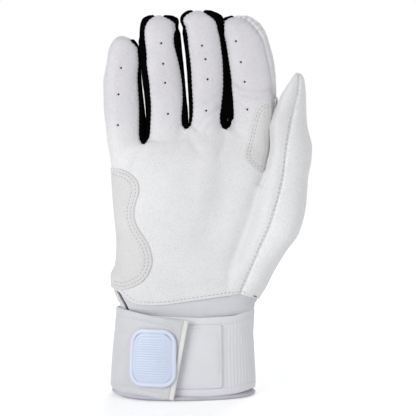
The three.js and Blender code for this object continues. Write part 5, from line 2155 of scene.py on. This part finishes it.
loop_outline = rectangle(*LOOP_ENDS, LOOP_LOW, LOOP_HIGH, LOOP_CORNER)
laid_piece(
    "loop_panel", loop_layer, loop_outline, (0.8, 0.8), loop_lift,
    LOOP_WALL, loop_fabric, "fastener",
)
HOOK_ENDS = float(hook_layer.girth_at(FASTENER_LEFT)), float(tab_layer.girth_at(HOOK_RIGHT))
laid_piece(
    "hook_pad", hook_layer, rectangle(*HOOK_ENDS, HOOK_LOW, HOOK_HIGH, HOOK_CORNER), (1.0, 1.0),
    lambda girth, height, depth: turned_edge(depth, 0.4),
    HOOK_WALL, hook_plastic, "fastener", "tab",
)

PULL_LEFT, PULL_RIGHT, PULL_LOW, PULL_HIGH, PULL_CORNER = -49.6, -19.6, 9.2, 45.2, 9.0
RIM_WIDTH, RIM_WALL, FIELD_WALL = 2.6, 1.5, 0.9


def pull_outline(inset):
    left, right = pull_layer.girth_at(np.array([PULL_LEFT, PULL_RIGHT]))
    low, high = PULL_LOW + inset, PULL_HIGH - inset
    return rectangle(left + inset, right - inset, low, high, PULL_CORNER - inset / 2)


outer, in_field = pull_outline(0.0), depth_in(pull_outline(RIM_WIDTH))
made = pattern_mesh(outer, 0.4, 0.4)
cut_away(made, lambda co: -in_field(co), OPENING_REACH)
lay_round(made, pull_layer, outer, lambda girth, height, depth: (
    0.25 - 1.2 * ((depth - RIM_WIDTH / 2) / RIM_WIDTH * 2) ** 4 * 0.5
))
cuff_piece("pull_patch_rim", made, RIM_WALL, pull_rim_rubber, "strap_trim", "tab")

GRIP_PITCH, FIELD_UNDER_RIM = 3.0, 0.15


def grip_lift(girth, height, depth):
    """A recessed field with low ribs for the fingertips."""
    rib = 0.22 * np.cos(height / GRIP_PITCH * 2 * math.pi) ** 2
    return -0.35 + eased(depth, 2.4, 3.4) * rib + groove(depth - 1.6, 0.14, 0.35)


laid_piece(
    "pull_patch", pull_layer, pull_outline(RIM_WIDTH - FIELD_UNDER_RIM), (0.45, 0.35), grip_lift,
    FIELD_WALL, pull_rubber, "pull_rubber", "tab",
)
print("strap, tab, fasteners and pull patch laid")

# %% Rows on the cuff: tab, strap, loop panel and band
def cuff_row(layer, girth, height, lift):
    """Points and normals of a row on a layer of the cuff."""
    line = rounded(np.column_stack([girth, height]), 1)
    run = lengths_along(line)
    at = np.arange(0, run[-1], 0.7)
    girth, height = np.interp(at, run, line[:, 0]), np.interp(at, run, line[:, 1])
    return layer.at(girth, height, lift(girth, height)), layer.outwards(girth)


tab_rows = [cuff_row(tab_layer, *tab_row.T, lambda girth, height: tab_lift(girth, height, 9.0))]
TAB_THREAD, CUFF_THREAD = 0.15, 0.14
follow_tab(stitch_mesh("stitches_strap_tab", tab_rows, 2.4, 1.7, TAB_THREAD, white_thread))
around = np.linspace(12, band_layer.around - 16, 60)
band_rows = [
    cuff_row(band_layer, around, band_edge(rows)(around) + inset,
             lambda girth, height: band_lift(girth, height, 0))
    for rows, inset in ((BAND_FOOT, HEM_HEIGHT), (BAND_HEAD, -HEM_HEIGHT))
]
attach(stitch_mesh("stitches_cuff_band", band_rows, 2.4, 1.7, CUFF_THREAD, white_thread), "hand")
left, right = LOOP_ENDS + (LOOP_SEAM, -LOOP_SEAM)
loop_row = rectangle(left, right, LOOP_LOW + LOOP_SEAM, LOOP_HIGH - LOOP_SEAM)
loop_rows = [cuff_row(loop_layer, *loop_row.T, lambda girth, height: -0.25 + 0 * girth)]
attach(stitch_mesh("stitches_loop_panel", loop_rows, 2.2, 1.6, CUFF_THREAD, white_thread), "hand")
print("stitches on the cuff laid")
